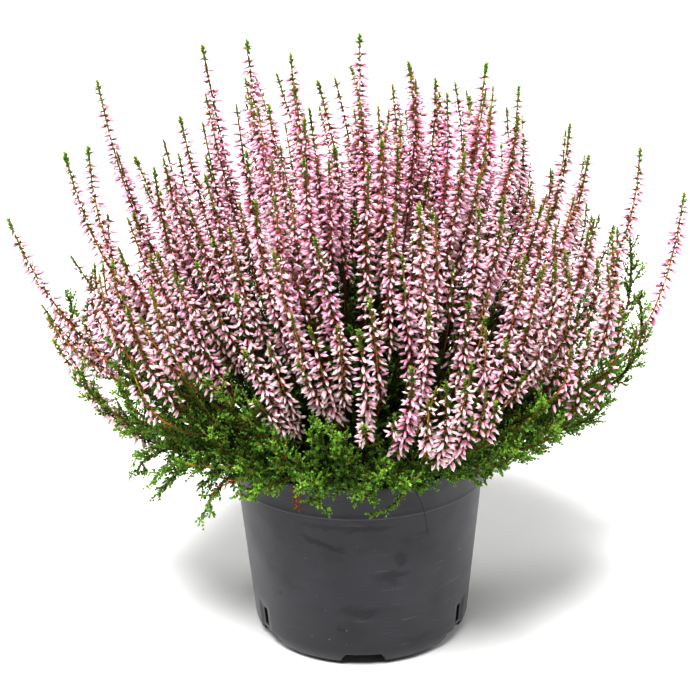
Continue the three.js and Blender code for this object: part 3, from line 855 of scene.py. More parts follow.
def add_spike(buds, leaves, line, shape, hint, sparse, bright, rng):
    """Buds and bracts along a line of places. Nodes follow each other up the stem, each with two
    opposite clusters of one to three buds, square to those of the node before. Over the last
    sparse millimetres the buds get smaller, paler and fewer, and at the foot they are fewer too."""
    whole = length_of(line)
    nodes = spike_nodes(whole)
    count = len(nodes)
    place, way = walk(line, nodes)
    full = np.clip((whole - nodes) / sparse, 0, 1)
    foot = np.clip(0.45 + nodes / 14, 0, 1)
    # Six possible buds a node: two sides, and on each one in the middle and one to either hand.
    side = np.tile([0, 0, 0, 1, 1, 1], (count, 1))
    hand = np.tile([0, 1, -1, 0, 1, -1], (count, 1))
    turn = (np.arange(count) % 2)[:, None] * np.pi / 2 + side * np.pi + rng.uniform(0, np.pi)
    turn = turn + nodes[:, None] * rng.uniform(-0.02, 0.02) + rng.normal(0, 0.22, turn.shape)
    turn = turn + hand * rng.uniform(0.5, 0.85, turn.shape)
    beside = 0.16 + 0.3 * climb(place[:, 2], CROWDED_FROM, CROWDED_RISE)
    chance = np.where(hand == 0, 1.0, (beside * full)[:, None])
    chance = chance * (0.85 + 0.15 * full[:, None]) * foot[:, None]
    row, column = np.nonzero(rng.uniform(size=turn.shape) < chance)
    place, way, full, to_tip = place[row], way[row], full[row], (whole - nodes)[row]
    outward = around(way, hint[None], turn[row, column])
    height = climb(place[:, 2], SKIRT_TOP, BUSH_DEPTH)
    add_buds(buds, shape, place, way, outward, height, full, to_tip, rng)
    add_bracts(leaves, place, way, outward, height, full, rng)
    add_green_tip(leaves, line, bright, rng)


def add_buds(buds, shape, place, way, outward, height, full, to_tip, rng):
    """One bud at each place. It points outwards and droops, most where it is low in the bush and
    far from the spike's tip, and is smaller, paler and more upright where the spike isn't full.
    Higher in the bush the buds are pinker and a little smaller."""
    count = len(place)
    droop = np.radians(BUD_DROOP_LOW - BUD_DROOP_LESS_HIGH * height) * np.clip(0.3 + to_tip / 45, 0, 1)
    droop = droop + rng.normal(0, 0.15, count)
    aim = np.cos(droop)[:, None] * outward + np.sin(droop)[:, None] * -UP
    aim = unit(aim + (0.38 * (1 - full))[:, None] * way + rng.normal(0, 0.08, aim.shape))
    grown = 0.55 + 0.45 * full ** 0.7
    size = grown * (BUD_SIZE_LOW - BUD_SIZE_LESS_HIGH * height) * rng.uniform(0.86, 1.1, count)
    width = BUD_RADIUS * size * rng.uniform(0.88, 1.12, count)
    sizes = np.stack([width, width, BUD_LENGTH * size], axis=1)
    tone = BUD_TONE_LOW + BUD_TONE_MORE_HIGH * height + rng.normal(0, 0.16) + rng.normal(0, 0.13, count)
    tone = tone * (0.25 + 0.75 * full)
    root = place + BUD_OFF_STEM * outward + rng.uniform(-0.6, 0.6, count)[:, None] * way
    spin = squared_to(aim, way + rng.normal(0, 0.3, aim.shape))
    add_copies(buds, shape, root, aim, spin, sizes, tone)


def add_bracts(leaves, place, way, outward, height, full, rng):
    """A small leaf beside most buds, that points outwards and somewhat up or down. Higher in the bush
    bracts are shorter, narrower and brighter. Their dark tones are painted shade between the buds."""
    count = len(place)
    lift = rng.uniform(-0.5, 0.9, count)
    aim = unit(outward + lift[:, None] * way + rng.normal(0, 0.25, outward.shape))
    length = (BRACT_LENGTH - BRACT_LESS_HIGH * height) * rng.uniform(0.8, 1.2, count)
    width = (BRACT_WIDTH - BRACT_WIDTH_LESS_HIGH * height) * length
    sizes = np.stack([width, BRACT_THICKNESS * length, length], axis=1)
    # Low tones make bracts near-black: painted shade in the gaps between buds.
    tone = rng.uniform(0.02, 0.3, count) + 0.3 * (1 - full) + 0.35 * height
    root = place + 0.35 * outward
    side = squared_to(aim, np.cross(way, outward))
    some = rng.uniform(size=count) < 1.25 - 0.4 * full
    add_copies(leaves, BRACT, root[some], aim[some], side[some], sizes[some], tone[some])


# -------- leaves and leafy twigs

LEAF_GAP = 0.95
LEAF_LENGTH = 1.85
LEAF_THICKNESS = 0.42
TIP_LEAF_GAP = 0.95
UNDER_TIP_LENGTH, UNDER_TIP_GAP, UNDER_TIP_LEAF = 12, 1.9, 1.7
STEM_LEAF_GAP, STEM_LEAF_LENGTH = 1.4, 2.4
TWIG_THICK, TWIG_THIN = 0.34, 0.15
LEAF_HINT = np.array([[0.35, 0.6, 0.72]])
# Kinds of side twigs: the gap between them, the longest one, their brightness, the number of finer
# twigs on each, and how coarse their leaves are.
# The low, inner and blossom twigs get near-black tones: painted shade under and inside the canopy.
LOW_TWIGS = {"gap": 8.0, "longest": 15.0, "tone": 0.02, "coarse": 1.5}
GREEN_TWIGS = {"gap": 3.6, "longest": 13.0, "tone": 0.26, "finer": 2}
OUTER_TWIGS = {"gap": 4.4, "longest": 13.0, "tone": 0.2, "finer": 1}
INNER_TWIGS = {"gap": 6.9, "longest": 16.0, "tone": 0.02, "finer": 1, "coarse": 1.5}
BLOSSOM_TWIGS = {"gap": 5.5, "longest": 7.0, "tone": 0.08, "coarse": 1.1}
LEAFY_TWIGS = {"gap": 3.3, "longest": 12.5, "tone": 0.26, "finer": 4}


def add_leaf_pairs(leaves, place, way, turn, size, spread, tone):
    """Opposite pairs of scale leaves that clasp a stem. size is a leaf's length and spread is how
    far it leans out, as a share of its length."""
    right = around(way, LEAF_HINT, turn)
    sizes = np.stack([size * spread, LEAF_THICKNESS * size, size * np.sqrt(1 - spread ** 2)], axis=1)
    add_copies(leaves, LEAF_PAIR, place, way, right, sizes, tone)


def add_pairs_along(leaves, line, nodes, size, spread, tone, rng, askew=0.2, most=1.2, uneven=0.06):
    """Pairs of scale leaves at those distances along a line, each square to the one before but for
    a draw askew, up to most times their size, and of an uneven tone."""
    place, way = walk(line, nodes)
    count = len(nodes)
    turn = np.arange(count) * np.pi / 2 + rng.normal(0, askew, count)
    size = size * rng.uniform(0.8, most, count)
    tone = tone + rng.normal(0, uneven, count)
    add_leaf_pairs(leaves, place, way, turn, size, spread * np.ones(count), tone)


def add_green_tip(leaves, line, bright, rng):
    """The growing tip: pairs of scale leaves that are longest in the middle, by half a sine, and
    close on the point. A bright tip has more pairs below it, that get darker."""
    whole = length_of(line)
    nodes = whole - TIP_LENGTH + np.arange(0, TIP_LENGTH - 1.2, TIP_LEAF_GAP)
    share = (nodes - whole + TIP_LENGTH) / TIP_LENGTH
    size = 0.6 + 1.2 * bright * (1 + np.sin(np.pi * share))
    spread = 0.62 + 0.24 * np.sin(np.pi * share) - 0.12 * share
    add_pairs_along(leaves, line, nodes, size, spread, 0.3 + 0.6 * bright + 0.25 * share, rng)
    if bright < 0.5:
        return
    nodes = whole - TIP_LENGTH - np.arange(0.6, UNDER_TIP_LENGTH, UNDER_TIP_GAP)
    nodes = nodes[nodes > 0]
    tone = bright - 0.2 - 0.06 * np.arange(len(nodes))
    add_pairs_along(leaves, line, nodes, UNDER_TIP_LEAF, 0.74, tone, rng, askew=0.3)


def clothe_stem(leaves, line, tone, rng, tip=True):
    """Pairs of scale leaves on a shoot's own stem, brighter towards its end, and its green tip if
    tip says so."""
    whole = length_of(line)
    nodes = np.arange(0, whole - TIP_LENGTH, STEM_LEAF_GAP)
    add_pairs_along(leaves, line, nodes, STEM_LEAF_LENGTH, 0.6, tone + 0.2 * nodes / whole, rng,
                    askew=0.25, most=1.15, uneven=0.07)
    if tip:
        add_green_tip(leaves, line, 0.75, rng)


def add_twigs(leaves, wood, root, way, length, lift, tone, rng, finer=0, coarse=1.0):
    """Twigs that leave root along way and bend towards lift by the square of the share, each set
    with opposite pairs of scale leaves, square to the pair before, that get shorter and brighter
    and close in towards the end, and with that many still finer twigs. tone is brightness, and
    coarse makes the leaves larger and wider apart."""
    count, rows = len(root), 25
    q = np.linspace(0, 1, rows)
    bow = 0.5 * (q ** 2)[:, None] * lift[:, None]
    lines = root[:, None] + length[:, None, None] * (q[:, None] * way[:, None] + bow)
    along = unit(np.gradient(lines, axis=1))
    step = np.floor(q * length[:, None] / (LEAF_GAP * coarse))
    kept = np.concatenate([step[:, 1:] > step[:, :-1], np.ones((count, 1), bool)], axis=1)
    item, row = np.nonzero(kept)
    share = q[row]
    turn = step[item, row] * np.pi / 2 + 2.4 * item + rng.normal(0, 0.25, len(item))
    size = LEAF_LENGTH * coarse ** 1.6 * (1 - 0.35 * share ** 2) * rng.uniform(0.8, 1.15, len(item))
    spread = 0.62 - 0.2 * share ** 2
    leaf_tone = tone[item] + 0.3 * share ** 2 + rng.normal(0, 0.13, len(item))
    add_leaf_pairs(leaves, lines[item, row], along[item, row], turn, size, spread, leaf_tone)
    if wood is not None:
        thin = lines[:, ::12]
        radii = np.linspace(TWIG_THICK, TWIG_THIN, thin.shape[1])[None] * np.ones((count, 1))
        age = np.linspace(0.78, 1.0, thin.shape[1])[None] * np.ones((count, 1))
        hint = unit(np.cross(way, np.array([0.3, 0.2, 1.0])))
        add_tubes(wood, thin, radii, hint, 3, rng.uniform(0, 1, count), age)
    if finer:
        item = np.repeat(np.arange(count), finer)
        order = np.tile(np.arange(finer), count)
        share = 0.25 + 0.55 * order / finer + rng.uniform(0, 0.1, len(item))
        row = np.round(share * (rows - 1)).astype(int)
        stem = along[item, row]
        outward = around(stem, LEAF_HINT, order * GOLDEN_ANGLE + 1.7 * item)
        fine_way = unit(0.8 * stem + outward)
        fine_length = length[item] * rng.uniform(0.28, 0.5, len(item))
        fine_lift = unit(stem + lift[item])
        fine_tone = tone[item] + 0.12 + rng.normal(0, 0.06, len(item))
        add_twigs(leaves, None, lines[item, row], fine_way, fine_length, fine_lift, fine_tone, rng,
                  coarse=coarse)


def add_side_twigs(leaves, wood, line, hint, rng, gap, longest, tone, finer=0, coarse=1.0, rise=0.8):
    """Side twigs along a line of places, every gap millimetres and a golden angle apart, shorter
    and brighter towards its end. They bend along the line and up by rise."""
    whole = length_of(line)
    nodes = np.arange(rng.uniform(0, gap), whole, gap)
    count = len(nodes)
    if not count:
        return
    place, way = walk(line, nodes)
    turn = np.arange(count) * GOLDEN_ANGLE + rng.uniform(0, 2 * np.pi)
    outward = around(way, hint[None], turn)
    share = nodes / whole
    twig_way = unit(0.6 * way + outward + rng.normal(0, 0.18, way.shape))
    length = longest * (1 - 0.5 * share) * rng.uniform(0.6, 1.1, count)
    lift = unit(way + rise * UP - 0.5 * outward)
    brightness = tone + 0.2 * share + rng.normal(0, 0.1, count)
    add_twigs(leaves, wood, place, twig_way, length, lift, brightness, rng, finer, coarse)


def add_stem(wood, lines, thick, thin, first_age, hints, rng):
    """Woody tubes along lines: the radius goes from thick to thin with a power of the share along
    them, and the wood from its first age to green."""
    count, rings = lines.shape[:2]
    share = np.linspace(0, 1, rings)[None]
    radii = (thick - (thick - thin) * share ** 0.6) * np.ones((count, 1))
    age = first_age + (1 - first_age) * share ** 1.2 * np.ones((count, 1))
    add_tubes(wood, lines, radii, hints, 4, rng.uniform(0, 1, count), age)


# -------- strays on the pot's rim

# Sprigs that hang over the rim and stems that lie on the skirt: the spray each grows with, four
# corners of its curve, its brightness and the length of its side twigs.
SPRIGS = (
    ("leafy_spray_14", ((20, -44, 97), (21, -64, 97), (18, -68, 84), (3, -66, 82)), 0.8, 4.0),
    ("leafy_spray_14", ((0, -40, 97), (-6, -58, 100), (-9, -65, 96), (-10, -66, 90)), 0.6, 5.0),
    ("leafy_spray_11", ((-50, -24, 96), (-70, -32, 98), (-82, -36, 90), (-90, -38, 80)), 0.4, 7.0),
    ("leafy_spray_11", ((-44, -30, 96), (-62, -38, 99), (-76, -42, 97), (-90, -42, 91)), 0.4, 11.0),
    ("leafy_spray_11", ((-40, -34, 96), (-54, -40, 98), (-62, -42, 93), (-69, -42, 86)), 0.35, 10.0),
    ("leafy_spray_03", ((-50, -20, 98), (-74, -30, 106), (-86, -36, 104), (-98, -38, 99)), 0.4, 8.0),
    ("leafy_spray_03", ((-48, -22, 100), (-72, -30, 110), (-88, -36, 113), (-104, -38, 110)), 0.4, 9.0),
    ("leafy_spray_01", ((-44, -44, 104), (-58, -50, 120), (-70, -52, 140), (-79, -54, 156)), 0.85, 2.0),
    ("leafy_spray_01", ((-40, -46, 100), (-50, -52, 116), (-62, -55, 132), (-74, -58, 146)), 0.7, 2.5),
)
SPRIG_GAP, SPRIG_RISE, FULL_SPRIG = 2.0, -0.5, 5.5
SPRIG_STEM = (0.6, 0.3, 0.8)
STRAY_HINT = np.array([[0.3, 0.5, 0.8]])
# Dead bits: four corners of the curve, thickness, length of the needles and the gap between them.
DEAD_TWIGS = (
    (((-30, -42, 94), (-40, -58, 102), (-48, -66, 101), (-61, -66, 95)), 1.15, 6.0, 1.6),
    (((-22, -46, 96), (-26, -62, 101), (-28, -69, 98), (-27, -69, 87)), 0.45, 5.0, 0.5),
)
NEEDLE_RADII = (0.3, 0.28, 0.12)
HAIR_ROOT = ((21, -58, 92.5), (23, -64, 92), (28, -62, 82), (28, -60.5, 70))
HAIR_ROOT_RADIUS = 0.13


def add_sprigs(leaves, wood, name):
    """The sprigs that grow with the spray of that name: a leafy stem along each curve, with side
    twigs that hang."""
    for i, (spray, corners, bright, longest) in enumerate(SPRIGS):
        if spray != name:
            continue
        rng = np.random.default_rng(SEED + 500 + i)
        line = curve(corners, 60)
        clothe_stem(leaves, line, bright, rng)
        add_side_twigs(leaves, wood, line, STRAY_HINT[0], rng, SPRIG_GAP, longest, bright,
                       finer=2 if longest > FULL_SPRIG else 1, rise=SPRIG_RISE)
        add_stem(wood, line[None, ::6], *SPRIG_STEM, STRAY_HINT, rng)


def add_dead_bits(wood):
    """A dry twig on the left of the rim and a dead sprig in front, both set with bent needles a
    golden angle apart, and a hair root."""
    rng = np.random.default_rng(SEED + 900)
    for corners, thick, longest, gap in DEAD_TWIGS:
        line = curve(corners, 30)
        nodes = np.arange(length_of(line) * 0.35, length_of(line), gap)
        count = len(nodes)
        place, way = walk(line, nodes)
        outward = around(way, STRAY_HINT, np.arange(count) * GOLDEN_ANGLE)
        reach = longest * rng.uniform(0.4, 1.0, (count, 1))
        ends = place + reach * unit(outward + 0.7 * way)
        needles = np.stack([place, (place + ends) / 2 + 0.1 * reach * way, ends], axis=1)
        radii = np.array([NEEDLE_RADII]) * np.ones((count, 1))
        age = np.full_like(radii, 0.7)
        add_tubes(wood, needles, radii, outward, 3, rng.uniform(0.5, 1, count), age)
        radii = np.linspace(thick, NEEDLE_RADII[0], 10)[None]
        age = np.full_like(radii, 0.72)
        add_tubes(wood, line[None, ::3], radii, STRAY_HINT, 5, np.array([0.95]), age)
    radii = np.full((1, 16), HAIR_ROOT_RADIUS)
    age = np.full_like(radii, 0.4)
    add_tubes(wood, curve(HAIR_ROOT, 16)[None], radii, STRAY_HINT, 3, np.array([0.6]), age)


# -------- the plant's pieces

OUTER_SHOOT = 0.68
SHORTEST_SPIKE, SHORTEST_SIDE_SPIKE = 0.2, 0.12
SIDE_FAN_FROM, SIDE_FAN_STEP = 0.55, 2.3
# Least and most length of the sparse end of a spike.
SPARSE_END, SIDE_SPARSE_END = (10, 20), (12, 22)
TALL_TIP_BRIGHT, TIP_BRIGHT, SIDE_TIP_BRIGHT = 0.85, 0.6, 0.4
# Shares along a shoot: where twigs start outside and inside the bush, where low twigs start and end,
# how far twigs go on among the buds and how long a spike has them, and where a leafy shoot's twigs
# and leaves start.
BARE_FROM_OUTER, BARE_FROM_INNER = 0.34, 0.16
LOW_STRETCH = (0.14, 0.36)
AMONG_BUDS, LONG_SPIKE = 0.14, 0.28
TWIGGY_FROM, LEAFY_FROM = 0.22, 0.3
# Stems' radii at the foot and the tip, and how old the wood is at the foot: 0 is old, 1 is green.
LEADER_RADIUS, STEM_RADIUS, GREEN_STEM_SHARE, STEM_TIP_RADIUS = 1.3, 0.8, 0.6, 0.36
# Old wood takes the wood's darkest colours, which are partly painted shade inside the bush.
OLD_WOOD, YOUNG_WOOD = 0.1, 0.2
SIDE_STEM = (0.6, 0.34, 0.45)


def finish_piece(piece, nodes):
    """Puts a piece on the root body, in place of these nodes, which it hides."""
    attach(piece, "root")
    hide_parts(*nodes)


def branch_names(bush):
    """CAD node of each branch, in the order of the branches: each kind is numbered by itself."""
    flowering, leafy = np.cumsum(bush.branch_flowers), np.cumsum(~bush.branch_flowers)
    return [f"flower_branch_{a:02d}" if flowers else f"leafy_spray_{b:02d}"
            for flowers, a, b in zip(bush.branch_flowers, flowering, leafy)]


def grow_main_stems(wood, bush):
    """Woody stems: each branch's leader from the soil up, and every other shoot from its fork. The
    leader is the shoot nearest to the middle of its branch."""
    everyone = np.arange(SHOOT_COUNT)
    leaders = np.zeros(SHOOT_COUNT, bool)
    for branch in range(BRANCH_COUNT):
        own = everyone[bush.branch == branch]
        leaders[own[bush.from_centre[own].argmin()]] = True
    leafy = ~bush.flowers | (bush.t > 0.72)
    for leading, green in ((True, False), (True, True), (False, False), (False, True)):
        which = everyone[(leaders == leading) & (leafy == green)]
        rng = np.random.default_rng(SEED + leading + 2 * green)
        start = np.full(len(which), 0.0 if leading else FORK)
        lines = bush.lines(which, start, bush.reach[which], 15)
        if leading:
            foot = lines[:, :1] * (1, 1, 0) + (0, 0, STEM_FOOT + 0.4)
            lines = np.concatenate([foot, lines], axis=1)
        thick = (LEADER_RADIUS if leading else STEM_RADIUS) * (GREEN_STEM_SHARE if green else 1.0)
        age = YOUNG_WOOD if green else OLD_WOOD
        add_stem(wood, lines, thick, STEM_TIP_RADIUS, age, across(bush.angle[which]), rng)


def grow_side_spikes(buds, leaves, wood, bush, k, rng):
    """Shorter flowering shoots that leave shoot k and end a little lower, up to three of them. At
    the left and right they fan out from the shoot's own heading, and elsewhere they take opposite
    sides. One that would be too short is left out."""
    heading = math.atan2(bush.v[k], bush.u[k])
    inner = bush.t[k] < SIDE_FAN_FROM
    sideways = bush.t[k] > SIDE_FAN_FROM and abs(math.cos(heading)) > 0.72
    first = heading if sideways else rng.uniform(0, 2 * np.pi)
    step = SIDE_FAN_STEP if sideways else np.pi
    farthest = 0.12 if sideways else 0.09
    three = sideways or (inner and rng.uniform() > 0.25)
    hint = across(bush.angle[k])
    for i in range(3 if three else 2):
        turn = first + i * step + rng.normal(0, 0.4)
        off = rng.uniform(0.055, farthest) * np.array([[math.cos(turn), math.sin(turn)]])
        shorter = rng.uniform(-0.2 if inner else -0.26, 0.02)
        end = bush.reach[k] + shorter - (0.03 if bush.tall[k] else 0)
        green = 0.12 * (i == 0) * round_about(heading, 0, 30) * (bush.t[k] > 0.7)
        start = bush.bud_start[k] + green + rng.uniform(0.04, 0.16)
        start = max(start, SIDE_FORK + SHORTEST_SIDE_SPIKE)
        if end - start < SHORTEST_SIDE_SPIKE:
            continue
        spike = bush.line(k, start, end, 40, off)
        sparse = rng.uniform(*SIDE_SPARSE_END)
        add_spike(buds, leaves, spike, SIDE_BUD, hint, sparse, SIDE_TIP_BRIGHT, rng)
        if bush.bare_stem_shows(k):
            clothe_stem(leaves, bush.line(k, SIDE_FORK, start, 20, off), 0.3, rng, tip=False)
        stem = bush.line(k, SIDE_FORK, end, 8, off)
        add_stem(wood, stem[None], *SIDE_STEM, hint[None], rng)


def grow_flowering_shoot(buds, leaves, wood, bush, k, rng):
    """Shoot k with its spike, its side spikes and the twigs on its stem: green ones at the outside
    of the bush, coarse ones inside it and low at its front and sides, and short ones among the lowest
    buds; the inner, low and short ones are near-black with painted shade."""
    hint, reach = across(bush.angle[k]), bush.reach[k]
    outer = bush.t[k] > OUTER_SHOOT
    start = min(bush.bud_start[k], reach - SHORTEST_SPIKE)
    spike = bush.line(k, start, reach, 60)
    bright = TALL_TIP_BRIGHT if bush.tall[k] else TIP_BRIGHT
    add_spike(buds, leaves, spike, BUD, hint, rng.uniform(*SPARSE_END), bright, rng)
    grow_side_spikes(buds, leaves, wood, bush, k, rng)
    bare = bush.line(k, BARE_FROM_OUTER if outer else BARE_FROM_INNER, start + 0.04, 30)
    if bush.bare_stem_shows(k):
        clothe_stem(leaves, bare, 0.3, rng, tip=False)
    if outer and math.sin(bush.angle[k]) < 0.1:
        add_side_twigs(leaves, wood, bush.line(k, *LOW_STRETCH, 20), hint, rng, **LOW_TWIGS)
    green = GREEN_TWIGS if bush.bud_start[k] > 0.66 else OUTER_TWIGS
    add_side_twigs(leaves, wood, bare, hint, rng, **(green if outer else INNER_TWIGS))
    if not bush.tall[k] and reach - start > LONG_SPIKE:
        among_buds = bush.line(k, start, start + AMONG_BUDS, 20)
        add_side_twigs(leaves, wood, among_buds, hint, rng, **BLOSSOM_TWIGS)


def grow_leafy_shoot(leaves, wood, bush, k, rng):
    """Shoot k with scale leaves on its own stem and leafy side twigs."""
    twiggy = bush.line(k, TWIGGY_FROM, bush.reach[k], 60)
    add_side_twigs(leaves, wood, twiggy, across(bush.angle[k]), rng, **LEAFY_TWIGS)
    clothe_stem(leaves, bush.line(k, LEAFY_FROM, bush.reach[k], 60), 0.4, rng)


def grow_plant():
    """One piece of leaves for each branch, one of buds where it flowers, and all wood in one."""
    bush = Bush()
    names = branch_names(bush)
    blossom, foliage, wooden = blossom_material(), foliage_material(), wood_material()
    wood = Pile()
    for branch, name in enumerate(names):
        leaves, buds = Pile(), Pile()
        for k in np.arange(SHOOT_COUNT)[bush.branch == branch]:
            rng = np.random.default_rng(SEED + k)
            if bush.flowers[k]:
                grow_flowering_shoot(buds, leaves, wood, bush, k, rng)
            else:
                grow_leafy_shoot(leaves, wood, bush, k, rng)
        add_sprigs(leaves, wood, name)
        if buds.count:
            finish_piece(buds.mesh(f"{name}_buds", blossom, True), [name])
        finish_piece(leaves.mesh(f"{name}_leaves", foliage, False), [name])
    grow_main_stems(wood, bush)
    add_dead_bits(wood)
    finish_piece(wood.mesh("stems", wooden, True), names)


# -------- pot

# The ridge at the foot of the collar: radius, and height over the collar's foot.
COLLAR_RIDGE = ((56.75, -1.1), (57.3, -0.9), (58.0, -0.4), (58.15, 0.1), (58.0, 0.7), (57.9, 1.8))
RIDGE_DEPTH = 1.2
PANEL_HALF, PANEL_OVER_SLOT, PANEL_DEPTH = 4.4, 2.2, 0.7
POT_COLUMNS = 240
SLOT_REACH = (-58.0, -46.0)


def rounded_foot(flat, steps):
    """Profile of the pot's rounded foot: a quarter of an oval from the flat part to the wall."""
    angle = np.linspace(0, np.pi / 2, steps + 1)
    return list(zip(flat + (BODY_FOOT_RADIUS - flat) * np.sin(angle),
                    ROUNDING_HEIGHT * (1 - np.cos(angle))))


def pot_profile():
    """Radius and height of the pot's section: up the outside, over the rim and down the inside."""
    collar_foot = POT_HEIGHT - COLLAR_HEIGHT
    inner = FOOT_RING_INNER_RADIUS
    outside = [(inner, FLOOR_UNDERSIDE), (inner, 2.5), (inner, 0.25), (inner + 0.3, 0.0)]
    outside += rounded_foot(BODY_FOOT_RADIUS - ROUNDING_INSET, 12)
    share = np.linspace(0, 1, 24)[1:]
    body_top = collar_foot - RIDGE_DEPTH
    outside += list(zip(BODY_FOOT_RADIUS + (BODY_TOP_RADIUS - BODY_FOOT_RADIUS) * share,
                        ROUNDING_HEIGHT + (body_top - ROUNDING_HEIGHT) * share))
    outside += [(radius, collar_foot + height) for radius, height in COLLAR_RIDGE]
    outside += [(58.9, 84.6), (59.7, 89.4), (RIM_RADIUS, 90.4), (RIM_RADIUS - 0.1, 90.85),
                (RIM_RADIUS - 0.4, POT_HEIGHT)]
    inside = [(RIM_RADIUS - WALL + 0.3, POT_HEIGHT), (RIM_RADIUS - WALL, 90.7), (57.2, 84.0),
              (BODY_TOP_RADIUS - WALL, collar_foot), (52.5, 50.0), (BODY_FOOT_RADIUS - WALL, ROUNDING_HEIGHT),
              (46.5, 8.9), (42.1, FLOOR_UNDERSIDE + WALL), (20.0, FLOOR_UNDERSIDE + WALL)]
    return np.array(outside), np.array(inside)


def notch_height(radius, turn):
    """How far up the foot is cut away at an angle: a trapezium at each sixth of the way round."""
    step = 2 * np.pi / NOTCH_COUNT
    gap = (turn + step / 2) % step - step / 2
    aside = np.abs(radius * np.sin(gap))
    return NOTCH_HEIGHT * climb(aside, NOTCH_FOOT_HALF, NOTCH_TOP_HALF - NOTCH_FOOT_HALF)


def drain_recess(radius, height, turn):
    """How far the wall is set in round a drain slot: a shallow panel with soft edges, that reaches
    a little over the slot."""
    inset = np.zeros(np.broadcast(radius, turn).shape)
    for degrees in DRAIN_ANGLES:
        aside = np.abs(radius * np.sin(turn - math.radians(degrees)))
        facing = np.cos(turn - math.radians(degrees)) > 0
        edge = climb(aside, PANEL_HALF, -0.5) * facing
        inset = np.maximum(inset, PANEL_DEPTH * edge * climb(height, DRAIN_TOP + PANEL_OVER_SLOT, -1.2))
    return inset


def pot_mesh(material):
    """The turned pot on a grid of profile by angle: its foot is lifted into the notches and its wall
    set in round the drain slots, both by formulas of the angle. The floor is closed by a point on
    the axis above and below."""
    outside, inside = pot_profile()
    profile = np.concatenate([outside, inside])
    turn = 2 * np.pi * np.arange(POT_COLUMNS) / POT_COLUMNS
    radius = np.repeat(profile[:, :1], POT_COLUMNS, axis=1)
    height = np.repeat(profile[:, 1:], POT_COLUMNS, axis=1)
    outer = (np.arange(len(profile)) < len(outside))[:, None]
    lifted = np.maximum(height, notch_height(radius, turn[None]))
    height = np.where(outer & (height < ROUNDING_HEIGHT), lifted, height)
    radius = radius - drain_recess(radius, height, turn[None]) * (outer & (height > 2))
    x = radius * np.sin(turn)
    y = -radius * np.cos(turn)
    rings = np.stack([x, y, height], axis=-1).reshape(-1, 3)
    points = np.concatenate([rings, [(0, 0, FLOOR_UNDERSIDE), (0, 0, FLOOR_UNDERSIDE + WALL)]])
    below, above = len(points) - 2, len(points) - 1
    a, b, c, d = ring_corners(len(profile), POT_COLUMNS)
    faces = triangles((a, b, d), (a, d, c), (b[0], a[0], below), (c[-1], d[-1], above))
    pot = mesh_object("pot_shell", points, faces, None, material, True)
    cut_slots(pot)
    pot.data.set_sharp_from_angle(angle=math.radians(38))
    return pot


def cut_slots(pot):
    """Cuts the drain slots through the wall with one box each, turned to its angle."""
    half = DRAIN_WIDTH / 2
    x, y, z = np.array([(x, y, z) for x in (-half, half) for y in SLOT_REACH
                        for z in (DRAIN_BOTTOM, DRAIN_TOP)]).T
    sides = np.array([(0, 1, 3, 2), (4, 6, 7, 5), (0, 4, 5, 1), (2, 3, 7, 6), (0, 2, 6, 4), (1, 5, 7, 3)])
    points, faces = [], []
    for i, degrees in enumerate(DRAIN_ANGLES):
        c, s = math.cos(math.radians(degrees)), math.sin(math.radians(degrees))
        points.append(np.stack([c * x - s * y, s * x + c * y, z], axis=1))
        faces.append(sides + 8 * i)
    cutter = mesh_object("slot_cutter", np.concatenate(points), np.concatenate(faces), None,
                         pot.data.materials[0], False)
    cut = pot.modifiers.new("slots", "BOOLEAN")
    cut.object = cutter
    cut.operation = "DIFFERENCE"
    cut.solver = "EXACT"
    bpy.context.view_layer.update()
    shown = pot.evaluated_get(bpy.context.evaluated_depsgraph_get())
    finished = bpy.data.meshes.new_from_object(shown)
    pot.modifiers.clear()
    pot.data = finished
    bpy.data.objects.remove(cutter)


# -------- soil

SOIL_EDGE = 56.4
SOIL_UNDERSIDE = 70.0
LUMP_WAVES = (22.0, 11.0, 6.0, 3.4, 2.1)
CRUMB_COUNT, CRUMBS_AT_LEFT = 70, 45
CRUMB_SIZES = (0.35, 1.0)
CRUMB_RADII = (58.0, 59.4)


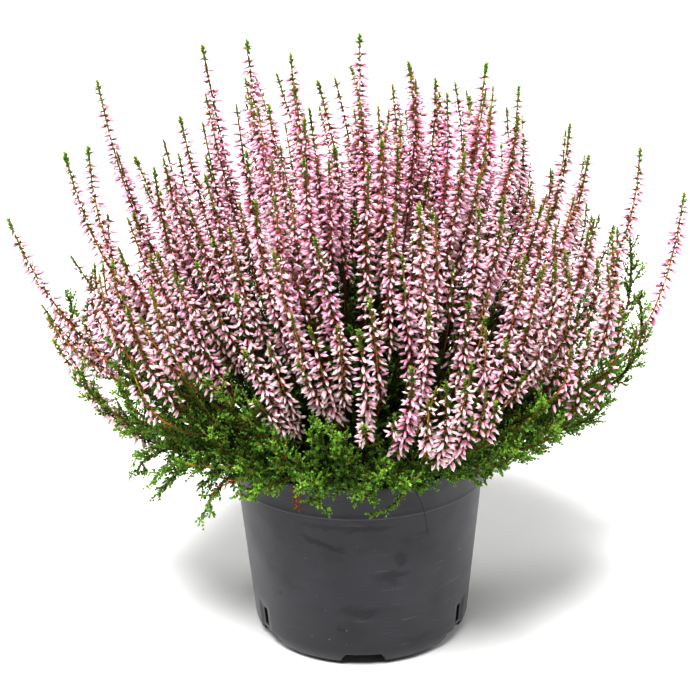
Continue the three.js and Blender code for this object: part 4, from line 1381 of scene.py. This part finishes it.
def soil_mesh(material):
    """A lumpy disc of peat with a closed underside: rings by angle, raised by the mound, which is
    lower with the square of the radius, and by sines of five wavelengths in drawn directions."""
    rings, columns = 30, 96
    share = np.linspace(0.02, 1, rings)[:, None]
    turn = 2 * np.pi * np.arange(columns)[None] / columns
    x, y = SOIL_EDGE * share * np.cos(turn), SOIL_EDGE * share * np.sin(turn)
    rng = np.random.default_rng(SEED)
    lumps = np.zeros_like(x)
    for wave in LUMP_WAVES:
        angle = rng.uniform(0, 2 * np.pi, 4)
        phase = rng.uniform(0, 2 * np.pi, 4)
        for a, p in zip(angle, phase):
            lumps += 0.055 * wave ** 0.75 * np.sin((x * np.cos(a) + y * np.sin(a)) * 2 * np.pi / wave + p)
    top = SOIL_HEIGHT + SOIL_MOUND * (1 - share ** 2) + lumps
    rows = np.stack([x, y, top], axis=-1).reshape(-1, 3)
    under = np.stack([SOIL_EDGE * np.cos(turn[0]) * 0.92, SOIL_EDGE * np.sin(turn[0]) * 0.92,
                      np.full(columns, SOIL_UNDERSIDE)], axis=1)
    points = np.concatenate([rows, under, [(0, 0, SOIL_HEIGHT + SOIL_MOUND), (0, 0, SOIL_UNDERSIDE)]])
    above, below = len(points) - 2, len(points) - 1
    a, b, c, d = ring_corners(rings + 1, columns)
    faces = triangles((a, c, b), (b, c, d), (a[0], b[0], above), (d[-1], c[-1], below))
    return mesh_object("peat_top", points, faces, None, material, True)


def crumbs_mesh(material):
    """Crumbs of peat that lie on the rim: squat spindles, most of them on the left of the front."""
    rng = np.random.default_rng(SEED + 40)
    count = CRUMB_COUNT
    at_left, anywhere = rng.normal(-118, 9, count), rng.uniform(-180, 180, count)
    turn = np.radians(np.where(np.arange(count) < CRUMBS_AT_LEFT, at_left, anywhere))
    size = rng.uniform(*CRUMB_SIZES, count)
    radius = rng.uniform(*CRUMB_RADII, count)
    place = np.stack([radius * np.cos(turn), radius * np.sin(turn), POT_HEIGHT - 0.12 * size], axis=1)
    way = unit(rng.normal(0, 0.25, (count, 3)) + UP)
    side = squared_to(way, rng.normal(0, 1, (count, 3)))
    sizes = np.stack([size, size * 0.8, size * 1.1], axis=1)
    crumbs = Pile()
    add_copies(crumbs, CRUMB, place, way, side, sizes, np.zeros(count))
    return mesh_object("peat_crumbs", np.concatenate(crumbs.points), np.concatenate(crumbs.faces),
                       None, material, True)


def stand_pot():
    """The pot and the peat in it and on its rim."""
    finish_piece(pot_mesh(pot_material()), ["pot"])
    peat = soil_material()
    finish_piece(soil_mesh(peat), ["soil"])
    finish_piece(crumbs_mesh(peat), ["soil"])


aim_camera()
light_studio()
lay_floor()
stand_pot()
grow_plant()
